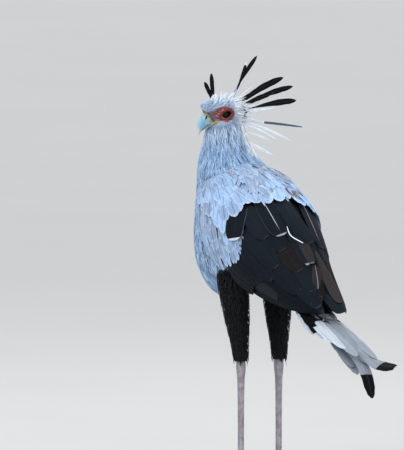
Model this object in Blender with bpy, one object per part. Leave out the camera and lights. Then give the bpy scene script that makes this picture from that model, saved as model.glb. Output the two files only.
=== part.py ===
"""Secretary bird standing still, at life size.

Frame: the bird stands on the floor plane z = 0 and looks along its body's
axis, the -Y direction. Its left side is +X. Its head is turned to its left.
Each named object is one closed piece of the bird.
"""
import math

import bmesh
import bpy
from mathutils import Matrix, Vector

# Driving dimensions, metres
GAP = 0.0003
TRUNK_SIDES = 24
HEAD_CUT_Z = 0.925
NECK_X = 0.014
HEAD_AT = Vector((0.022, -0.155, 0.968))
HEAD_YAW = math.radians(83.0)
HEAD_PITCH = math.radians(14.0)
EYE_RADIUS = 0.0112
EYE_OUT = 0.0142
LID_THICKNESS = 0.0016
LID_OPEN_LONG = 0.0088
LID_OPEN_TALL = 0.0074
BILL_SEAM_F = 0.041
BILL_SEAM_TILT = math.radians(22.0)
ANKLE_X = 0.057
ANKLE_Z = 0.328
TARSUS_RADIUS = 0.0080
FOOT_CUT_Z = 0.034
SCUTE_COUNT = 15
SCUTE_RAISE = 0.0008
CLAW_LENGTH = 0.019
WING_CORE_DEPTH = 0.011
WING_CORE_SINK = 0.003
VANE_EDGE = 0.0006
VANE_MIDRIB = 0.0013
COVERT_THICKNESS = 0.0009
PLUME_THICKNESS = 0.0010
ROOT_SINK = 0.0045
WING_CORE_REACH = 0.74
TAIL_COVERT_HALF = 0.0165
SMOOTH_ANGLE = math.radians(40.0)
WORLD_AXES = (Vector((1.0, 0.0, 0.0)), Vector((0.0, 1.0, 0.0)), Vector((0.0, 0.0, 1.0)))

# Trunk and neck as level slices: height, centre y, half width, half length
TRUNK = (
    (0.492, -0.150, 0.022, 0.036),
    (0.505, -0.140, 0.046, 0.072),
    (0.525, -0.115, 0.066, 0.115),
    (0.545, -0.096, 0.080, 0.152),
    (0.570, -0.074, 0.093, 0.190),
    (0.605, -0.069, 0.101, 0.202),
    (0.645, -0.073, 0.106, 0.196),
    (0.690, -0.081, 0.108, 0.177),
    (0.730, -0.092, 0.107, 0.155),
    (0.770, -0.104, 0.103, 0.131),
    (0.805, -0.119, 0.095, 0.108),
    (0.830, -0.133, 0.087, 0.094),
    (0.850, -0.146, 0.077, 0.081),
)
NECK = (
    (0.850, -0.146, 0.077, 0.081),
    (0.866, -0.151, 0.070, 0.072),
    (0.884, -0.154, 0.063, 0.065),
    (0.905, -0.155, 0.056, 0.058),
    (0.925, -0.155, 0.052, 0.054),
)

# Head stations along its own axis: forward, top, bottom, half width
SKULL = (
    (-0.054, 0.016, -0.022, 0.014),
    (-0.048, 0.027, -0.036, 0.023),
    (-0.036, 0.035, -0.044, 0.0285),
    (-0.020, 0.039, -0.044, 0.0295),
    (-0.004, 0.041, -0.041, 0.0275),
    (0.010, 0.043, -0.036, 0.0250),
    (0.022, 0.045, -0.031, 0.0220),
    (0.034, 0.043, -0.028, 0.0190),
    (0.044, 0.0420, -0.027, 0.0162),
    (0.052, 0.0375, -0.026, 0.0132),
    (0.058, 0.0305, -0.020, 0.0086),
)

# Bill stations: top edge (forward, up), bottom edge (forward, up), half width
BILL = (
    ((0.030, 0.026), (0.018, -0.0245), 0.0170),
    ((0.043, 0.0225), (0.034, -0.0265), 0.0145),
    ((0.0520, 0.0165), (0.0490, -0.0285), 0.0115),
    ((0.0610, 0.0105), (0.0580, -0.0298), 0.0094),
    ((0.0690, 0.0030), (0.0640, -0.0300), 0.0076),
    ((0.0750, -0.0060), (0.0675, -0.0300), 0.0060),
    ((0.0785, -0.0150), (0.0700, -0.0305), 0.0046),
    ((0.0800, -0.0230), (0.0725, -0.0315), 0.0034),
    ((0.0798, -0.0290), (0.0752, -0.0326), 0.0020),
)

# Neck stub inside the head: height, half width, half length
NECK_STUB = (
    (0.923, 0.052, 0.054),
    (0.940, 0.048, 0.047),
    (0.952, 0.040, 0.036),
    (0.966, 0.030, 0.024),
)
NECK_Y = -0.155

# Line of the closed mouth, forward and up, from the gape to below the bill's tip
MOUTH_LINE = (
    (0.015, -0.0125),
    (0.030, -0.0105),
    (0.045, -0.0125),
    (0.057, -0.0160),
    (0.066, -0.0205),
    (0.0705, -0.0250),
    (0.0712, -0.0420),
)
GAPE_LINE = ((0.046, -0.0128), (0.032, -0.0108), (0.018, -0.0125), (0.006, -0.0180), (-0.004, -0.0232))
GAPE_DEPTH = 0.0016
GAPE_HEIGHT = 0.0009
NOSTRIL_AT = (0.0535, 0.0035)
NOSTRIL_SIZE = (0.0050, 0.0014)
NOSTRIL_SLANT = math.radians(58.0)

# Crest plumes in head axes: root, tip (forward, left, up), half width of the blade, upward bow
CREST = (
    ((0.013, -0.014, 0.020), (-0.002, -0.020, 0.1085), 0.0052, 0.000),
    ((0.006, -0.016, 0.022), (0.0165, -0.030, 0.0925), 0.0050, 0.000),
    ((-0.030, -0.002, 0.026), (-0.129, 0.000, 0.1210), 0.0060, 0.004),
    ((-0.026, 0.010, 0.024), (-0.097, 0.012, 0.1160), 0.0050, 0.003),
    ((-0.040, 0.004, 0.010), (-0.187, 0.004, 0.0460), 0.0075, 0.006),
    ((-0.038, 0.012, 0.006), (-0.144, 0.018, 0.0185), 0.0078, 0.004),
    ((-0.042, -0.006, 0.000), (-0.214, -0.012, 0.0120), 0.0062, 0.006),
    ((-0.041, 0.008, -0.004), (-0.203, 0.014, -0.0200), 0.0064, 0.006),
    ((-0.036, 0.016, -0.012), (-0.143, 0.030, -0.0220), 0.0034, 0.002),
    ((-0.038, -0.010, -0.018), (-0.209, -0.018, -0.0925), 0.0028, 0.004),
    ((-0.038, 0.006, -0.024), (-0.169, 0.014, -0.1220), 0.0036, 0.006),
    ((-0.037, -0.016, 0.012), (-0.150, -0.040, 0.0600), 0.0068, 0.004),
    ((-0.038, -0.014, -0.006), (-0.168, -0.044, -0.0100), 0.0066, 0.004),
)
NAPE_PLUMES = (
    ((-0.034, 0.010, -0.066), (-0.130, 0.012, -0.1080), 0.0036, 0.003),
    ((-0.032, 0.012, -0.088), (-0.106, 0.016, -0.1420), 0.0036, 0.003),
)

# Folded wing's outer surface: back line, middle line and lower line from shoulder to tip
WING_UPPER = (
    (0.052, -0.125, 0.834),
    (0.022, -0.020, 0.828),
    (0.010, 0.085, 0.788),
    (0.009, 0.190, 0.705),
    (0.015, 0.295, 0.590),
    (0.030, 0.385, 0.492),
)
WING_MIDDLE = (
    (0.112, -0.130, 0.765),
    (0.130, -0.045, 0.748),
    (0.128, 0.065, 0.704),
    (0.110, 0.168, 0.638),
    (0.075, 0.275, 0.556),
    (0.036, 0.388, 0.488),
)
WING_LOWER = (
    (0.100, -0.140, 0.680),
    (0.110, -0.065, 0.600),
    (0.108, 0.040, 0.556),
    (0.094, 0.140, 0.522),
    (0.072, 0.245, 0.494),
    (0.038, 0.383, 0.482),
)

# Tiers of wing feathers. Each has its count, the root a and b of its first and last
# feather, the tip a and b of its first and last, half width, lift, lift step and roll
WING_TIERS = (
    (4, (0.56, 0.88), (0.56, 0.48), (0.93, 0.93), (1.00, 0.30), 0.0160, -0.0060, 0.0014, 0.0),
    (8, (0.36, 0.97), (0.46, 0.14), (0.58, 0.99), (0.86, 0.22), 0.0190, -0.0005, 0.0002, 5.0),
    (4, (0.34, 0.44), (0.38, 0.08), (0.66, 0.50), (0.80, 0.10), 0.0250, 0.0032, 0.0003, 4.5),
    (3, (0.26, 0.44), (0.29, 0.12), (0.46, 0.60), (0.64, 0.12), 0.0250, 0.0068, 0.0003, 4.5),
)
COVERT_TIERS = (
    (6, (0.16, 0.93), (0.28, 0.54), (0.31, 1.00), (0.50, 0.66), 0.0185, 0.0032, 0.0002, 5.0),
    (5, (0.06, 0.85), (0.18, 0.46), (0.22, 0.90), (0.38, 0.55), 0.0190, 0.0066, 0.0002, 5.0),
    (4, (0.16, 0.34), (0.20, 0.06), (0.37, 0.36), (0.50, 0.10), 0.0260, 0.0100, 0.0003, 4.5),
)

# Outlines of blades: place along the feather, part of the half width there
VANE_SHAPE = ((0.0, 0.40), (0.30, 0.86), (0.68, 1.0), (0.93, 0.66), (1.0, 0.14))
TAIL_SHAPE = ((0.0, 0.42), (0.25, 0.80), (0.50, 0.95), (0.75, 1.0), (0.90, 0.86), (0.97, 0.52), (1.0, 0.14))
COVERT_SHAPE = ((0.0, 0.50), (0.34, 0.96), (0.84, 0.84), (1.0, 0.20))
PLUME_SHAPE = ((0.0, 0.20), (0.36, 0.26), (0.70, 0.95), (0.92, 0.80), (1.0, 0.18))

# Rump that carries the tail: y, height, half width, half thickness across the tail's tilt
RUMP = (
    (0.085, 0.578, 0.045, 0.028),
    (0.130, 0.560, 0.048, 0.030),
    (0.180, 0.540, 0.045, 0.025),
    (0.230, 0.516, 0.038, 0.017),
    (0.290, 0.492, 0.030, 0.009),
    (0.350, 0.468, 0.022, 0.005),
)
TAIL_UP = Vector((0.0, 0.36, 0.93))

# Tail feathers of one side from the middle outward: tip x, y, z and half width
TAIL_TIPS = (
    (0.036, 0.560, 0.392, 0.0170),
    (0.045, 0.515, 0.408, 0.0170),
    (0.052, 0.470, 0.420, 0.0165),
    (0.057, 0.425, 0.428, 0.0155),
    (0.061, 0.385, 0.435, 0.0145),
)
TAIL_MIDDLE_RIGHT = (
    (-0.008, 0.215, 0.520),
    (-0.007, 0.340, 0.476),
    (-0.005, 0.457, 0.428),
    (-0.008, 0.552, 0.382),
    (-0.014, 0.606, 0.369),
    (-0.020, 0.668, 0.369),
)
TAIL_MIDDLE_LEFT = (
    (0.012, 0.215, 0.512),
    (0.014, 0.340, 0.466),
    (0.013, 0.446, 0.421),
    (0.013, 0.527, 0.3845),
    (0.015, 0.576, 0.3420),
    (0.018, 0.607, 0.2860),
)
TAIL_MIDDLE_WIDTH = 0.0185
TAIL_COVERTS = 3

# Thigh: height, y, x, half width, half length
THIGH = (
    (ANKLE_Z + GAP, 0.001, 0.0575, 0.0215, 0.0235),
    (0.345, 0.001, 0.0580, 0.0230, 0.0255),
    (0.380, -0.003, 0.0595, 0.0250, 0.0290),
    (0.430, -0.010, 0.0615, 0.0285, 0.0360),
    (0.480, -0.018, 0.0635, 0.0320, 0.0440),
    (0.520, -0.025, 0.0650, 0.0340, 0.0510),
    (0.555, -0.030, 0.0650, 0.0330, 0.0550),
    (0.590, -0.034, 0.0600, 0.0280, 0.0510),
)

# Shank and foot: height, share of the shank's radius
TARSUS_PROFILE = (
    (0.034, 1.20),
    (0.050, 1.05),
    (0.080, 0.95),
    (0.160, 0.95),
    (0.240, 1.00),
    (0.285, 1.12),
    (0.305, 1.38),
    (0.318, 1.50),
    (0.328, 1.40),
)
FOOT_PROFILE = (
    (0.003, 1.25),
    (0.012, 1.75),
    (0.022, 1.55),
    (FOOT_CUT_Z, 1.20),
)
LEG_DEPTH = 1.15

# Toes: name number, length, heading from straight ahead, radius
TOES = (
    (1, 0.062, 27.0, 0.0070),
    (2, 0.086, 2.0, 0.0078),
    (3, 0.066, -26.0, 0.0070),
    (4, 0.036, 176.0, 0.0064),
)


def start_empty():
    for old in list(bpy.data.objects):
        bpy.data.objects.remove(old, do_unlink=True)


def material(name, colour, roughness, metallic=0.0):
    mat = bpy.data.materials.new(name)
    mat.use_nodes = True
    shader = mat.node_tree.nodes["Principled BSDF"]
    shader.inputs["Base Color"].default_value = (*colour, 1.0)
    shader.inputs["Roughness"].default_value = roughness
    shader.inputs["Metallic"].default_value = metallic
    mat.diffuse_color = (*colour, 1.0)
    return mat


def add_object(name, bm, mat=None):
    bmesh.ops.triangulate(bm, faces=bm.faces[:])
    bmesh.ops.recalc_face_normals(bm, faces=bm.faces[:])
    mesh = bpy.data.meshes.new(name)
    bm.to_mesh(mesh)
    bm.free()
    obj = bpy.data.objects.new(name, mesh)
    bpy.context.scene.collection.objects.link(obj)
    if mat is not None:
        mesh.materials.append(mat)
    return obj


def ring_loft(rings):
    """Closed skin over a run of rings with the same number of points."""
    bm = bmesh.new()
    loops = [[bm.verts.new(point) for point in ring] for ring in rings]
    for low, high in zip(loops, loops[1:]):
        count = len(low)
        for i in range(count):
            j = (i + 1) % count
            bm.faces.new((low[i], low[j], high[j], high[i]))
    for loop in (loops[0], loops[-1]):
        centre = sum((v.co for v in loop), Vector()) / len(loop)
        hub = bm.verts.new(centre)
        for i in range(len(loop)):
            bm.faces.new((loop[i], loop[(i + 1) % len(loop)], hub))
    return bm


def spline(points, t):
    """Smooth curve through points, t from 0 to 1."""
    last = len(points) - 1
    s = min(max(t, 0.0), 1.0) * last
    i = min(int(s), last - 1)
    f = s - i
    p1 = Vector(points[i])
    p2 = Vector(points[i + 1])
    p0 = Vector(points[i - 1]) if i > 0 else p1 * 2 - p2
    p3 = Vector(points[i + 2]) if i + 2 <= last else p2 * 2 - p1
    slope1 = (p2 - p0) * 0.5
    slope2 = (p3 - p1) * 0.5
    f2 = f * f
    f3 = f2 * f
    return (
        p1 * (2 * f3 - 3 * f2 + 1)
        + slope1 * (f3 - 2 * f2 + f)
        + p2 * (3 * f2 - 2 * f3)
        + slope2 * (f3 - f2)
    )


def vane(name, frames, widths, edge=VANE_EDGE, midrib=VANE_MIDRIB, dish=0.0):
    """Closed thin blade along frames of centre, side and normal, split alike on both faces."""
    bm = bmesh.new()
    rings = []
    for (centre, side, normal), half in zip(frames, widths):
        drop = normal * (-dish * half)
        tops = [(centre - side * half + drop, edge), (centre + side * half + drop, edge)]
        if midrib:
            tops.insert(1, (centre, midrib))
        ring = [bm.verts.new(point + normal * (thick / 2)) for point, thick in tops]
        ring += [bm.verts.new(point - normal * (thick / 2)) for point, thick in tops]
        rings.append(ring)
    across = len(rings[0]) // 2
    strips = []
    for i in range(across - 1):
        strips.append((i, i + 1))
        strips.append((across + i + 1, across + i))
    strips.append((across - 1, 2 * across - 1))
    strips.append((across, 0))
    for low, high in zip(rings, rings[1:]):
        for i, j in strips:
            if i < across or j == 0:
                bm.faces.new((low[i], low[j], high[j]))
                bm.faces.new((low[i], high[j], high[i]))
            else:
                bm.faces.new((low[j], low[i], high[i]))
                bm.faces.new((low[j], high[i], high[j]))
    for ring in (rings[0], rings[-1]):
        for i in range(across - 1):
            bm.faces.new((ring[i], ring[i + 1], ring[across + i + 1]))
            bm.faces.new((ring[i], ring[across + i + 1], ring[across + i]))
    return add_object(name, bm)


def frames_along(points, normals):
    frames = []
    for i, point in enumerate(points):
        ahead = points[min(i + 1, len(points) - 1)] - points[max(i - 1, 0)]
        side = ahead.cross(normals[i]).normalized()
        normal = side.cross(ahead).normalized()
        frames.append((point, side, normal))
    return frames


def run_boolean(obj, other, operation):
    mod = obj.modifiers.new("shape", "BOOLEAN")
    mod.operation = operation
    mod.solver = "EXACT"
    if isinstance(other, bpy.types.Collection):
        mod.operand_type = "COLLECTION"
        mod.collection = other
    else:
        mod.object = other
    depsgraph = bpy.context.evaluated_depsgraph_get()
    mesh = bpy.data.meshes.new_from_object(obj.evaluated_get(depsgraph))
    obj.modifiers.clear()
    obj.data = mesh


def islands(bm):
    left = set(bm.verts)
    found = []
    while left:
        seed = left.pop()
        group = {seed}
        stack = [seed]
        while stack:
            for edge in stack.pop().link_edges:
                for vert in edge.verts:
                    if vert not in group:
                        group.add(vert)
                        stack.append(vert)
        left -= group
        found.append(group)
    return found


def island_volume(group):
    faces = {face for vert in group for face in vert.link_faces}
    total = 0.0
    for face in faces:
        a = face.verts[0].co
        for i in range(1, len(face.verts) - 1):
            b = face.verts[i].co
            c = face.verts[i + 1].co
            total += a.dot(b.cross(c)) / 6.0
    return total


def keep_largest(obj):
    bm = bmesh.new()
    bm.from_mesh(obj.data)
    groups = islands(bm)
    groups.sort(key=island_volume, reverse=True)
    for group in groups[1:]:
        bmesh.ops.delete(bm, geom=list(group), context="VERTS")
    bmesh.ops.triangulate(bm, faces=bm.faces[:])
    bm.to_mesh(obj.data)
    bm.free()


def remove_object(obj):
    bpy.data.objects.remove(obj, do_unlink=True)


def cut(obj, cutter):
    run_boolean(obj, cutter, "DIFFERENCE")
    keep_largest(obj)
    remove_object(cutter)


def fuse(obj, pieces):
    """One union of an object with a set of closed pieces."""
    group = bpy.data.collections.new("pieces")
    bpy.context.scene.collection.children.link(group)
    for piece in pieces:
        bpy.context.scene.collection.objects.unlink(piece)
        group.objects.link(piece)
    run_boolean(obj, group, "UNION")
    for piece in pieces:
        remove_object(piece)
    bpy.data.collections.remove(group)
    keep_largest(obj)


def slice_ring(z, yc, hx, hy, xc=0.0, grow=0.0):
    ring = []
    for i in range(TRUNK_SIDES):
        ang = 2 * math.pi * i / TRUNK_SIDES
        ring.append(Vector((xc + (hx + grow) * math.cos(ang), yc + (hy + grow) * math.sin(ang), z)))
    return ring


def lean_x(z):
    """Sideways lean of the upper trunk toward the head."""
    t = min(max((z - 0.74) / (HEAD_CUT_Z - 0.74), 0.0), 1.0)
    return NECK_X * t


def trunk_bm(slices, high_gap=0.0, grow=0.0):
    rings = []
    for n, (z, yc, hx, hy) in enumerate(slices):
        shift = 0.0
        if n == 0:
            shift = -grow
        if n == len(slices) - 1:
            shift = grow - high_gap
        rings.append(slice_ring(z + shift, yc, hx, hy, lean_x(z), grow))
    return ring_loft(rings)


def head_axes():
    level = Vector((math.sin(HEAD_YAW), -math.cos(HEAD_YAW), 0.0))
    side = Vector((-level.y, level.x, 0.0))
    up = Vector((0.0, 0.0, 1.0))
    forward = level * math.cos(HEAD_PITCH) - up * math.sin(HEAD_PITCH)
    crown = level * math.sin(HEAD_PITCH) + up * math.cos(HEAD_PITCH)
    return forward, side, crown


HEAD_F, HEAD_L, HEAD_U = head_axes()


def head_point(f, l, u):
    return HEAD_AT + HEAD_F * f + HEAD_L * l + HEAD_U * u


def oval_ring(centre, axis_a, half_a, axis_b, half_b, sides, power=2.0):
    ring = []
    for i in range(sides):
        ang = 2 * math.pi * i / sides
        ca = math.cos(ang)
        sa = math.sin(ang)
        pa = math.copysign(abs(ca) ** (2.0 / power), ca)
        pb = math.copysign(abs(sa) ** (2.0 / power), sa)
        ring.append(centre + axis_a * (half_a * pa) + axis_b * (half_b * pb))
    return ring


def box_between(low, high, axes, origin):
    bm = bmesh.new()
    bmesh.ops.create_cube(bm, size=1.0)
    for vert in bm.verts:
        f = low[0] + (vert.co.x + 0.5) * (high[0] - low[0])
        l = low[1] + (vert.co.y + 0.5) * (high[1] - low[1])
        u = low[2] + (vert.co.z + 0.5) * (high[2] - low[2])
        vert.co = origin + axes[0] * f + axes[1] * l + axes[2] * u
    return bm


def ball(name, centre, radius, rings=14, segments=22, axis=None):
    bm = bmesh.new()
    bmesh.ops.create_uvsphere(bm, u_segments=segments, v_segments=rings, radius=radius)
    if axis is not None:
        turn = Vector((0.0, 0.0, 1.0)).rotation_difference(axis).to_matrix().to_4x4()
        bmesh.ops.transform(bm, matrix=turn, verts=bm.verts[:])
    bmesh.ops.translate(bm, vec=centre, verts=bm.verts[:])
    return add_object(name, bm)


def level_tube(points, radii, ahead, sides):
    """Closed tube of upright rings along a level heading, its underside flat on the floor."""
    side = ahead.cross(WORLD_AXES[2]).normalized()
    rings = []
    for point, radius in zip(points, radii):
        ring = oval_ring(point, side, radius, WORLD_AXES[2], radius, sides)
        for corner in ring:
            corner.z = max(corner.z, 0.0)
        rings.append(ring)
    return ring_loft(rings)


def skull_half(f, u):
    """Half width of the skull at a forward and up position."""
    for low, high in zip(SKULL, SKULL[1:]):
        if low[0] <= f <= high[0]:
            t = (f - low[0]) / (high[0] - low[0])
            top, bottom, half = (low[k] + (high[k] - low[k]) * t for k in (1, 2, 3))
            rise = (u - (top + bottom) / 2) / ((top - bottom) / 2)
            return half * math.sqrt(max(1.0 - rise * rise, 0.0))
    return 0.0


def ribbon(lines, drops):
    """Closed band between two matching lines, each with its own drop to the underside."""
    bm = bmesh.new()
    tops = [[bm.verts.new(point) for point in line] for line in lines]
    lows = [[bm.verts.new(point + drop) for point, drop in zip(line, drops)] for line in lines]
    for i in range(len(drops) - 1):
        bm.faces.new((tops[0][i], tops[0][i + 1], tops[1][i + 1], tops[1][i]))
        bm.faces.new((lows[0][i], lows[1][i], lows[1][i + 1], lows[0][i + 1]))
        bm.faces.new((tops[0][i], lows[0][i], lows[0][i + 1], tops[0][i + 1]))
        bm.faces.new((tops[1][i], tops[1][i + 1], lows[1][i + 1], lows[1][i]))
    for i in (0, len(drops) - 1):
        bm.faces.new((tops[0][i], tops[1][i], lows[1][i], lows[0][i]))
    return bm


def seam_axes():
    """Axes of the slanted plane where the bill meets the head."""
    turn = BILL_SEAM_TILT
    out = HEAD_F * math.cos(turn) - HEAD_U * math.sin(turn)
    up = HEAD_F * math.sin(turn) + HEAD_U * math.cos(turn)
    return out, HEAD_L, up


def plume(root, tip, half, bow):
    """Crest plume: bare shaft at the root, widening to a blade near the tip."""
    line = []
    for t, _ in PLUME_SHAPE:
        f, l, u = (root[k] + (tip[k] - root[k]) * t for k in range(3))
        line.append(head_point(f, l, u + bow * math.sin(math.pi * t)))
    frames = frames_along(line, [HEAD_L] * len(line))
    widths = [max(half * grow, 0.0009) for _, grow in PLUME_SHAPE]
    return vane("plume", frames, widths, PLUME_THICKNESS, None)


def make_head(mat):
    rings = []
    for f, top, bottom, half in SKULL:
        centre = head_point(f, 0.0, (top + bottom) / 2)
        rings.append(oval_ring(centre, HEAD_L, half, HEAD_U, (top - bottom) / 2, 20, 2.15))
    head = add_object("head", ring_loft(rings), mat)
    stub = [slice_ring(z, NECK_Y, hx, hy, NECK_X) for z, hx, hy in NECK_STUB]
    pieces = [add_object("stub", ring_loft(stub))]
    for side in (1.0, -1.0):
        centre = head_point(0.0, side * EYE_OUT, 0.0)
        pieces.append(ball("lid", centre, EYE_RADIUS + GAP + LID_THICKNESS, 8, 14, HEAD_L))
    fuse(head, pieces)
    floor = Vector((0.0, NECK_Y, HEAD_CUT_Z + GAP))
    cut(head, add_object("below", box_between((-0.2, -0.2, -0.2), (0.2, 0.2, 0.0), WORLD_AXES, floor)))
    seam = box_between((0.0, -0.1, -0.1), (0.2, 0.1, 0.1), seam_axes(), head_point(BILL_SEAM_F, 0.0, 0.0))
    cut(head, add_object("seam", seam))
    for side in (1.0, -1.0):
        centre = head_point(0.0, side * EYE_OUT, 0.0)
        rings = []
        for out in (0.004, 0.030):
            mid = centre + HEAD_L * (side * out)
            rings.append(oval_ring(mid, HEAD_F, LID_OPEN_LONG, HEAD_U, LID_OPEN_TALL, 14))
        cut(head, add_object("opening", ring_loft(rings)))
        cut(head, ball("socket", centre, EYE_RADIUS + GAP, 8, 14, HEAD_L))
        inner = [head_point(f, side * (skull_half(f, u) - GAPE_DEPTH), u) for f, u in GAPE_LINE]
        outer = [head_point(f, side * 0.032, u) for f, u in GAPE_LINE]
        drops = [HEAD_U * -GAPE_HEIGHT] * len(GAPE_LINE)
        cut(head, add_object("gape", ribbon((inner, outer), drops)))
    fuse(head, [plume(*spec) for spec in CREST])
    return head


def make_neck(mat):
    neck = add_object("neck", trunk_bm(NECK), mat)
    fuse(neck, [plume(*spec) for spec in NAPE_PLUMES])
    return neck


def parted(whole, names, mat):
    """The two largest bodies of a parted piece, the larger one first."""
    halves = []
    for keep, name in enumerate(names):
        bm = bmesh.new()
        bm.from_mesh(whole.data)
        groups = islands(bm)
        groups.sort(key=island_volume, reverse=True)
        for n, group in enumerate(groups):
            if n != keep:
                bmesh.ops.delete(bm, geom=list(group), context="VERTS")
        halves.append(bm)
    remove_object(whole)
    return [add_object(name, bm, mat) for name, bm in zip(names, halves)]


def make_bill(mat):
    rings = []
    for (tf, tu), (bf, bu), half in BILL:
        top = head_point(tf, 0.0, tu)
        bottom = head_point(bf, 0.0, bu)
        tall = (top - bottom) / 2
        centre = (top + bottom) / 2
        rings.append(oval_ring(centre, HEAD_L, half, tall.normalized(), tall.length, 16))
    whole = add_object("bill", ring_loft(rings))
    back = box_between((-0.1, -0.1, -0.1), (GAP, 0.1, 0.1), seam_axes(), head_point(BILL_SEAM_F, 0.0, 0.0))
    cut(whole, add_object("back", back))
    lines = [[head_point(f, l, u) for f, u in MOUTH_LINE] for l in (-0.03, 0.03)]
    drops = []
    for n in range(len(MOUTH_LINE)):
        ahead = n > 3
        drops.append(HEAD_U * (-GAP * 0.5) - HEAD_F * GAP if ahead else HEAD_U * -GAP)
    slab = add_object("slab", ribbon(lines, drops))
    run_boolean(whole, slab, "DIFFERENCE")
    remove_object(slab)
    upper, lower = parted(whole, ("bill_upper", "bill_lower"), mat)
    f, u = NOSTRIL_AT
    along = HEAD_F * math.cos(NOSTRIL_SLANT) - HEAD_U * math.sin(NOSTRIL_SLANT)
    across = HEAD_F * math.sin(NOSTRIL_SLANT) + HEAD_U * math.cos(NOSTRIL_SLANT)
    for side in (1.0, -1.0):
        rings = []
        for out in (0.0075, 0.0150):
            mid = head_point(f, side * out, u)
            rings.append(oval_ring(mid, along, NOSTRIL_SIZE[0], across, NOSTRIL_SIZE[1], 12))
        cut(upper, add_object("nostril", ring_loft(rings)))
    return upper, lower


def wing_point(a, b, side):
    """Outer surface of the folded wing: a from shoulder to tip, b from back to lower edge."""
    upper = spline(WING_UPPER, a)
    middle = spline(WING_MIDDLE, a)
    lower = spline(WING_LOWER, a)
    knee = middle * 2 - (upper + lower) * 0.5
    point = upper * ((1 - b) ** 2) + knee * (2 * b * (1 - b)) + lower * (b * b)
    point.x *= side
    return point


def wing_normal(a, b, side):
    h = 0.004
    da = wing_point(min(a + h, 1.0), b, side) - wing_point(max(a - h, 0.0), b, side)
    db = wing_point(a, min(b + h, 1.0), side) - wing_point(a, max(b - h, 0.0), side)
    n = da.cross(db)
    if n.x * side < 0:
        n = -n
    return n.normalized()


def make_wing_core(name, mat, side):
    """Closed shell slab under the wing's outer surface, thinner toward its rims and tip."""
    steps_a = 8
    steps_b = 6
    rings = []
    for i in range(steps_a + 1):
        a = WING_CORE_REACH * i / steps_a
        outer = []
        inner = []
        for j in range(steps_b + 1):
            b = 0.03 + 0.92 * j / steps_b
            point = wing_point(a, b, side)
            normal = wing_normal(a, b, side)
            rim = math.sin(math.pi * (0.12 + 0.76 * b))
            depth = WING_CORE_DEPTH * rim * (1.0 - 0.55 * a) + 0.0012
            outer.append(point - normal * WING_CORE_SINK)
            inner.append(point - normal * (WING_CORE_SINK + depth))
        rings.append(outer + list(reversed(inner)))
    return add_object(name, ring_loft(rings), mat)


def wing_vane(root, tip, half, lift, roll, side, shape):
    """Feather laid on the wing surface from a root to a tip position."""
    points = []
    normals = []
    for t, _ in shape:
        a = root[0] + (tip[0] - root[0]) * t
        b = root[1] + (tip[1] - root[1]) * t
        normal = wing_normal(min(a, 0.99), min(max(b, 0.02), 0.98), side)
        sunk = -WING_CORE_SINK - ROOT_SINK
        rise = sunk + (lift - sunk) * min(1.0, t / 0.30)
        points.append(wing_point(a, b, side) + normal * rise)
        normals.append(normal)
    frames = []
    for centre, across, normal in frames_along(points, normals):
        turn = Matrix.Rotation(math.radians(roll) * side, 3, (points[-1] - points[0]).normalized())
        frames.append((centre, turn @ across, turn @ normal))
    midrib = None if shape == COVERT_SHAPE else VANE_MIDRIB
    edge = VANE_EDGE if midrib else COVERT_THICKNESS
    return vane("feather", frames, [half * grow for _, grow in shape], edge, midrib, 0.03)


def make_wing(name, mat, side):
    wing = make_wing_core(name, mat, side)
    feathers = []
    for tiers, shape in ((WING_TIERS, VANE_SHAPE), (COVERT_TIERS, COVERT_SHAPE)):
        for count, root0, root1, tip0, tip1, half, lift, step, roll in tiers:
            for n in range(count):
                t = n / (count - 1)
                root = tuple(root0[k] + (root1[k] - root0[k]) * t for k in range(2))
                tip = tuple(tip0[k] + (tip1[k] - tip0[k]) * t for k in range(2))
                feathers.append(wing_vane(root, tip, half, lift + step * n, roll, side, shape))
    fuse(wing, feathers)
    return wing


def rump(mat=None, grow=0.0):
    rings = []
    for y, z, half, thick in RUMP:
        rings.append(oval_ring(Vector((0.0, y, z)), WORLD_AXES[0], half + grow, TAIL_UP, thick + grow, 18))
    return add_object("tail", ring_loft(rings), mat)


def straight_vane(points, tilt, half, shape):
    """Feather along given points whose face looks along the tilt."""
    frames = frames_along(points, [tilt.normalized()] * len(points))
    return frames, [half * grow for _, grow in shape]


def tail_side(side):
    """Outer tail feathers and tail coverts of one side."""
    feathers = []
    for n, (x, y, z, half) in enumerate(TAIL_TIPS):
        root = Vector((side * (0.014 + 0.0035 * n), 0.240, 0.500 - 0.0020 * n))
        tip = Vector((side * x, y, z))
        sag = Vector((side * 0.004, 0.0, 0.006))
        points = [root.lerp(tip, t) + sag * math.sin(math.pi * t) for t, _ in VANE_SHAPE]
        tilt = TAIL_UP + Vector((side * (0.14 + 0.03 * n), 0.0, 0.0))
        feathers.append(vane("feather", *straight_vane(points, tilt, half, VANE_SHAPE)))
    for n in range(TAIL_COVERTS):
        root = Vector((side * (0.008 + 0.012 * n), 0.150, 0.561 - 0.004 * n))
        tip = Vector((side * (0.012 + 0.015 * n), 0.345 - 0.028 * n, 0.488 - 0.004 * n))
        points = [root.lerp(tip, t) for t, _ in COVERT_SHAPE]
        tilt = TAIL_UP + Vector((side * (0.06 + 0.12 * n), 0.0, 0.0))
        blade = straight_vane(points, tilt, TAIL_COVERT_HALF, COVERT_SHAPE)
        feathers.append(vane("feather", *blade, COVERT_THICKNESS, None))
    return feathers


def make_tail(mat):
    tail = rump(mat)
    feathers = []
    for line in (TAIL_MIDDLE_RIGHT, TAIL_MIDDLE_LEFT):
        points = [spline(line, t) for t, _ in TAIL_SHAPE]
        blade = straight_vane(points, TAIL_UP, TAIL_MIDDLE_WIDTH, TAIL_SHAPE)
        feathers.append(vane("feather", *blade, dish=0.10))
    for side in (1.0, -1.0):
        feathers += tail_side(side)
    fuse(tail, feathers)
    return tail


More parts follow.
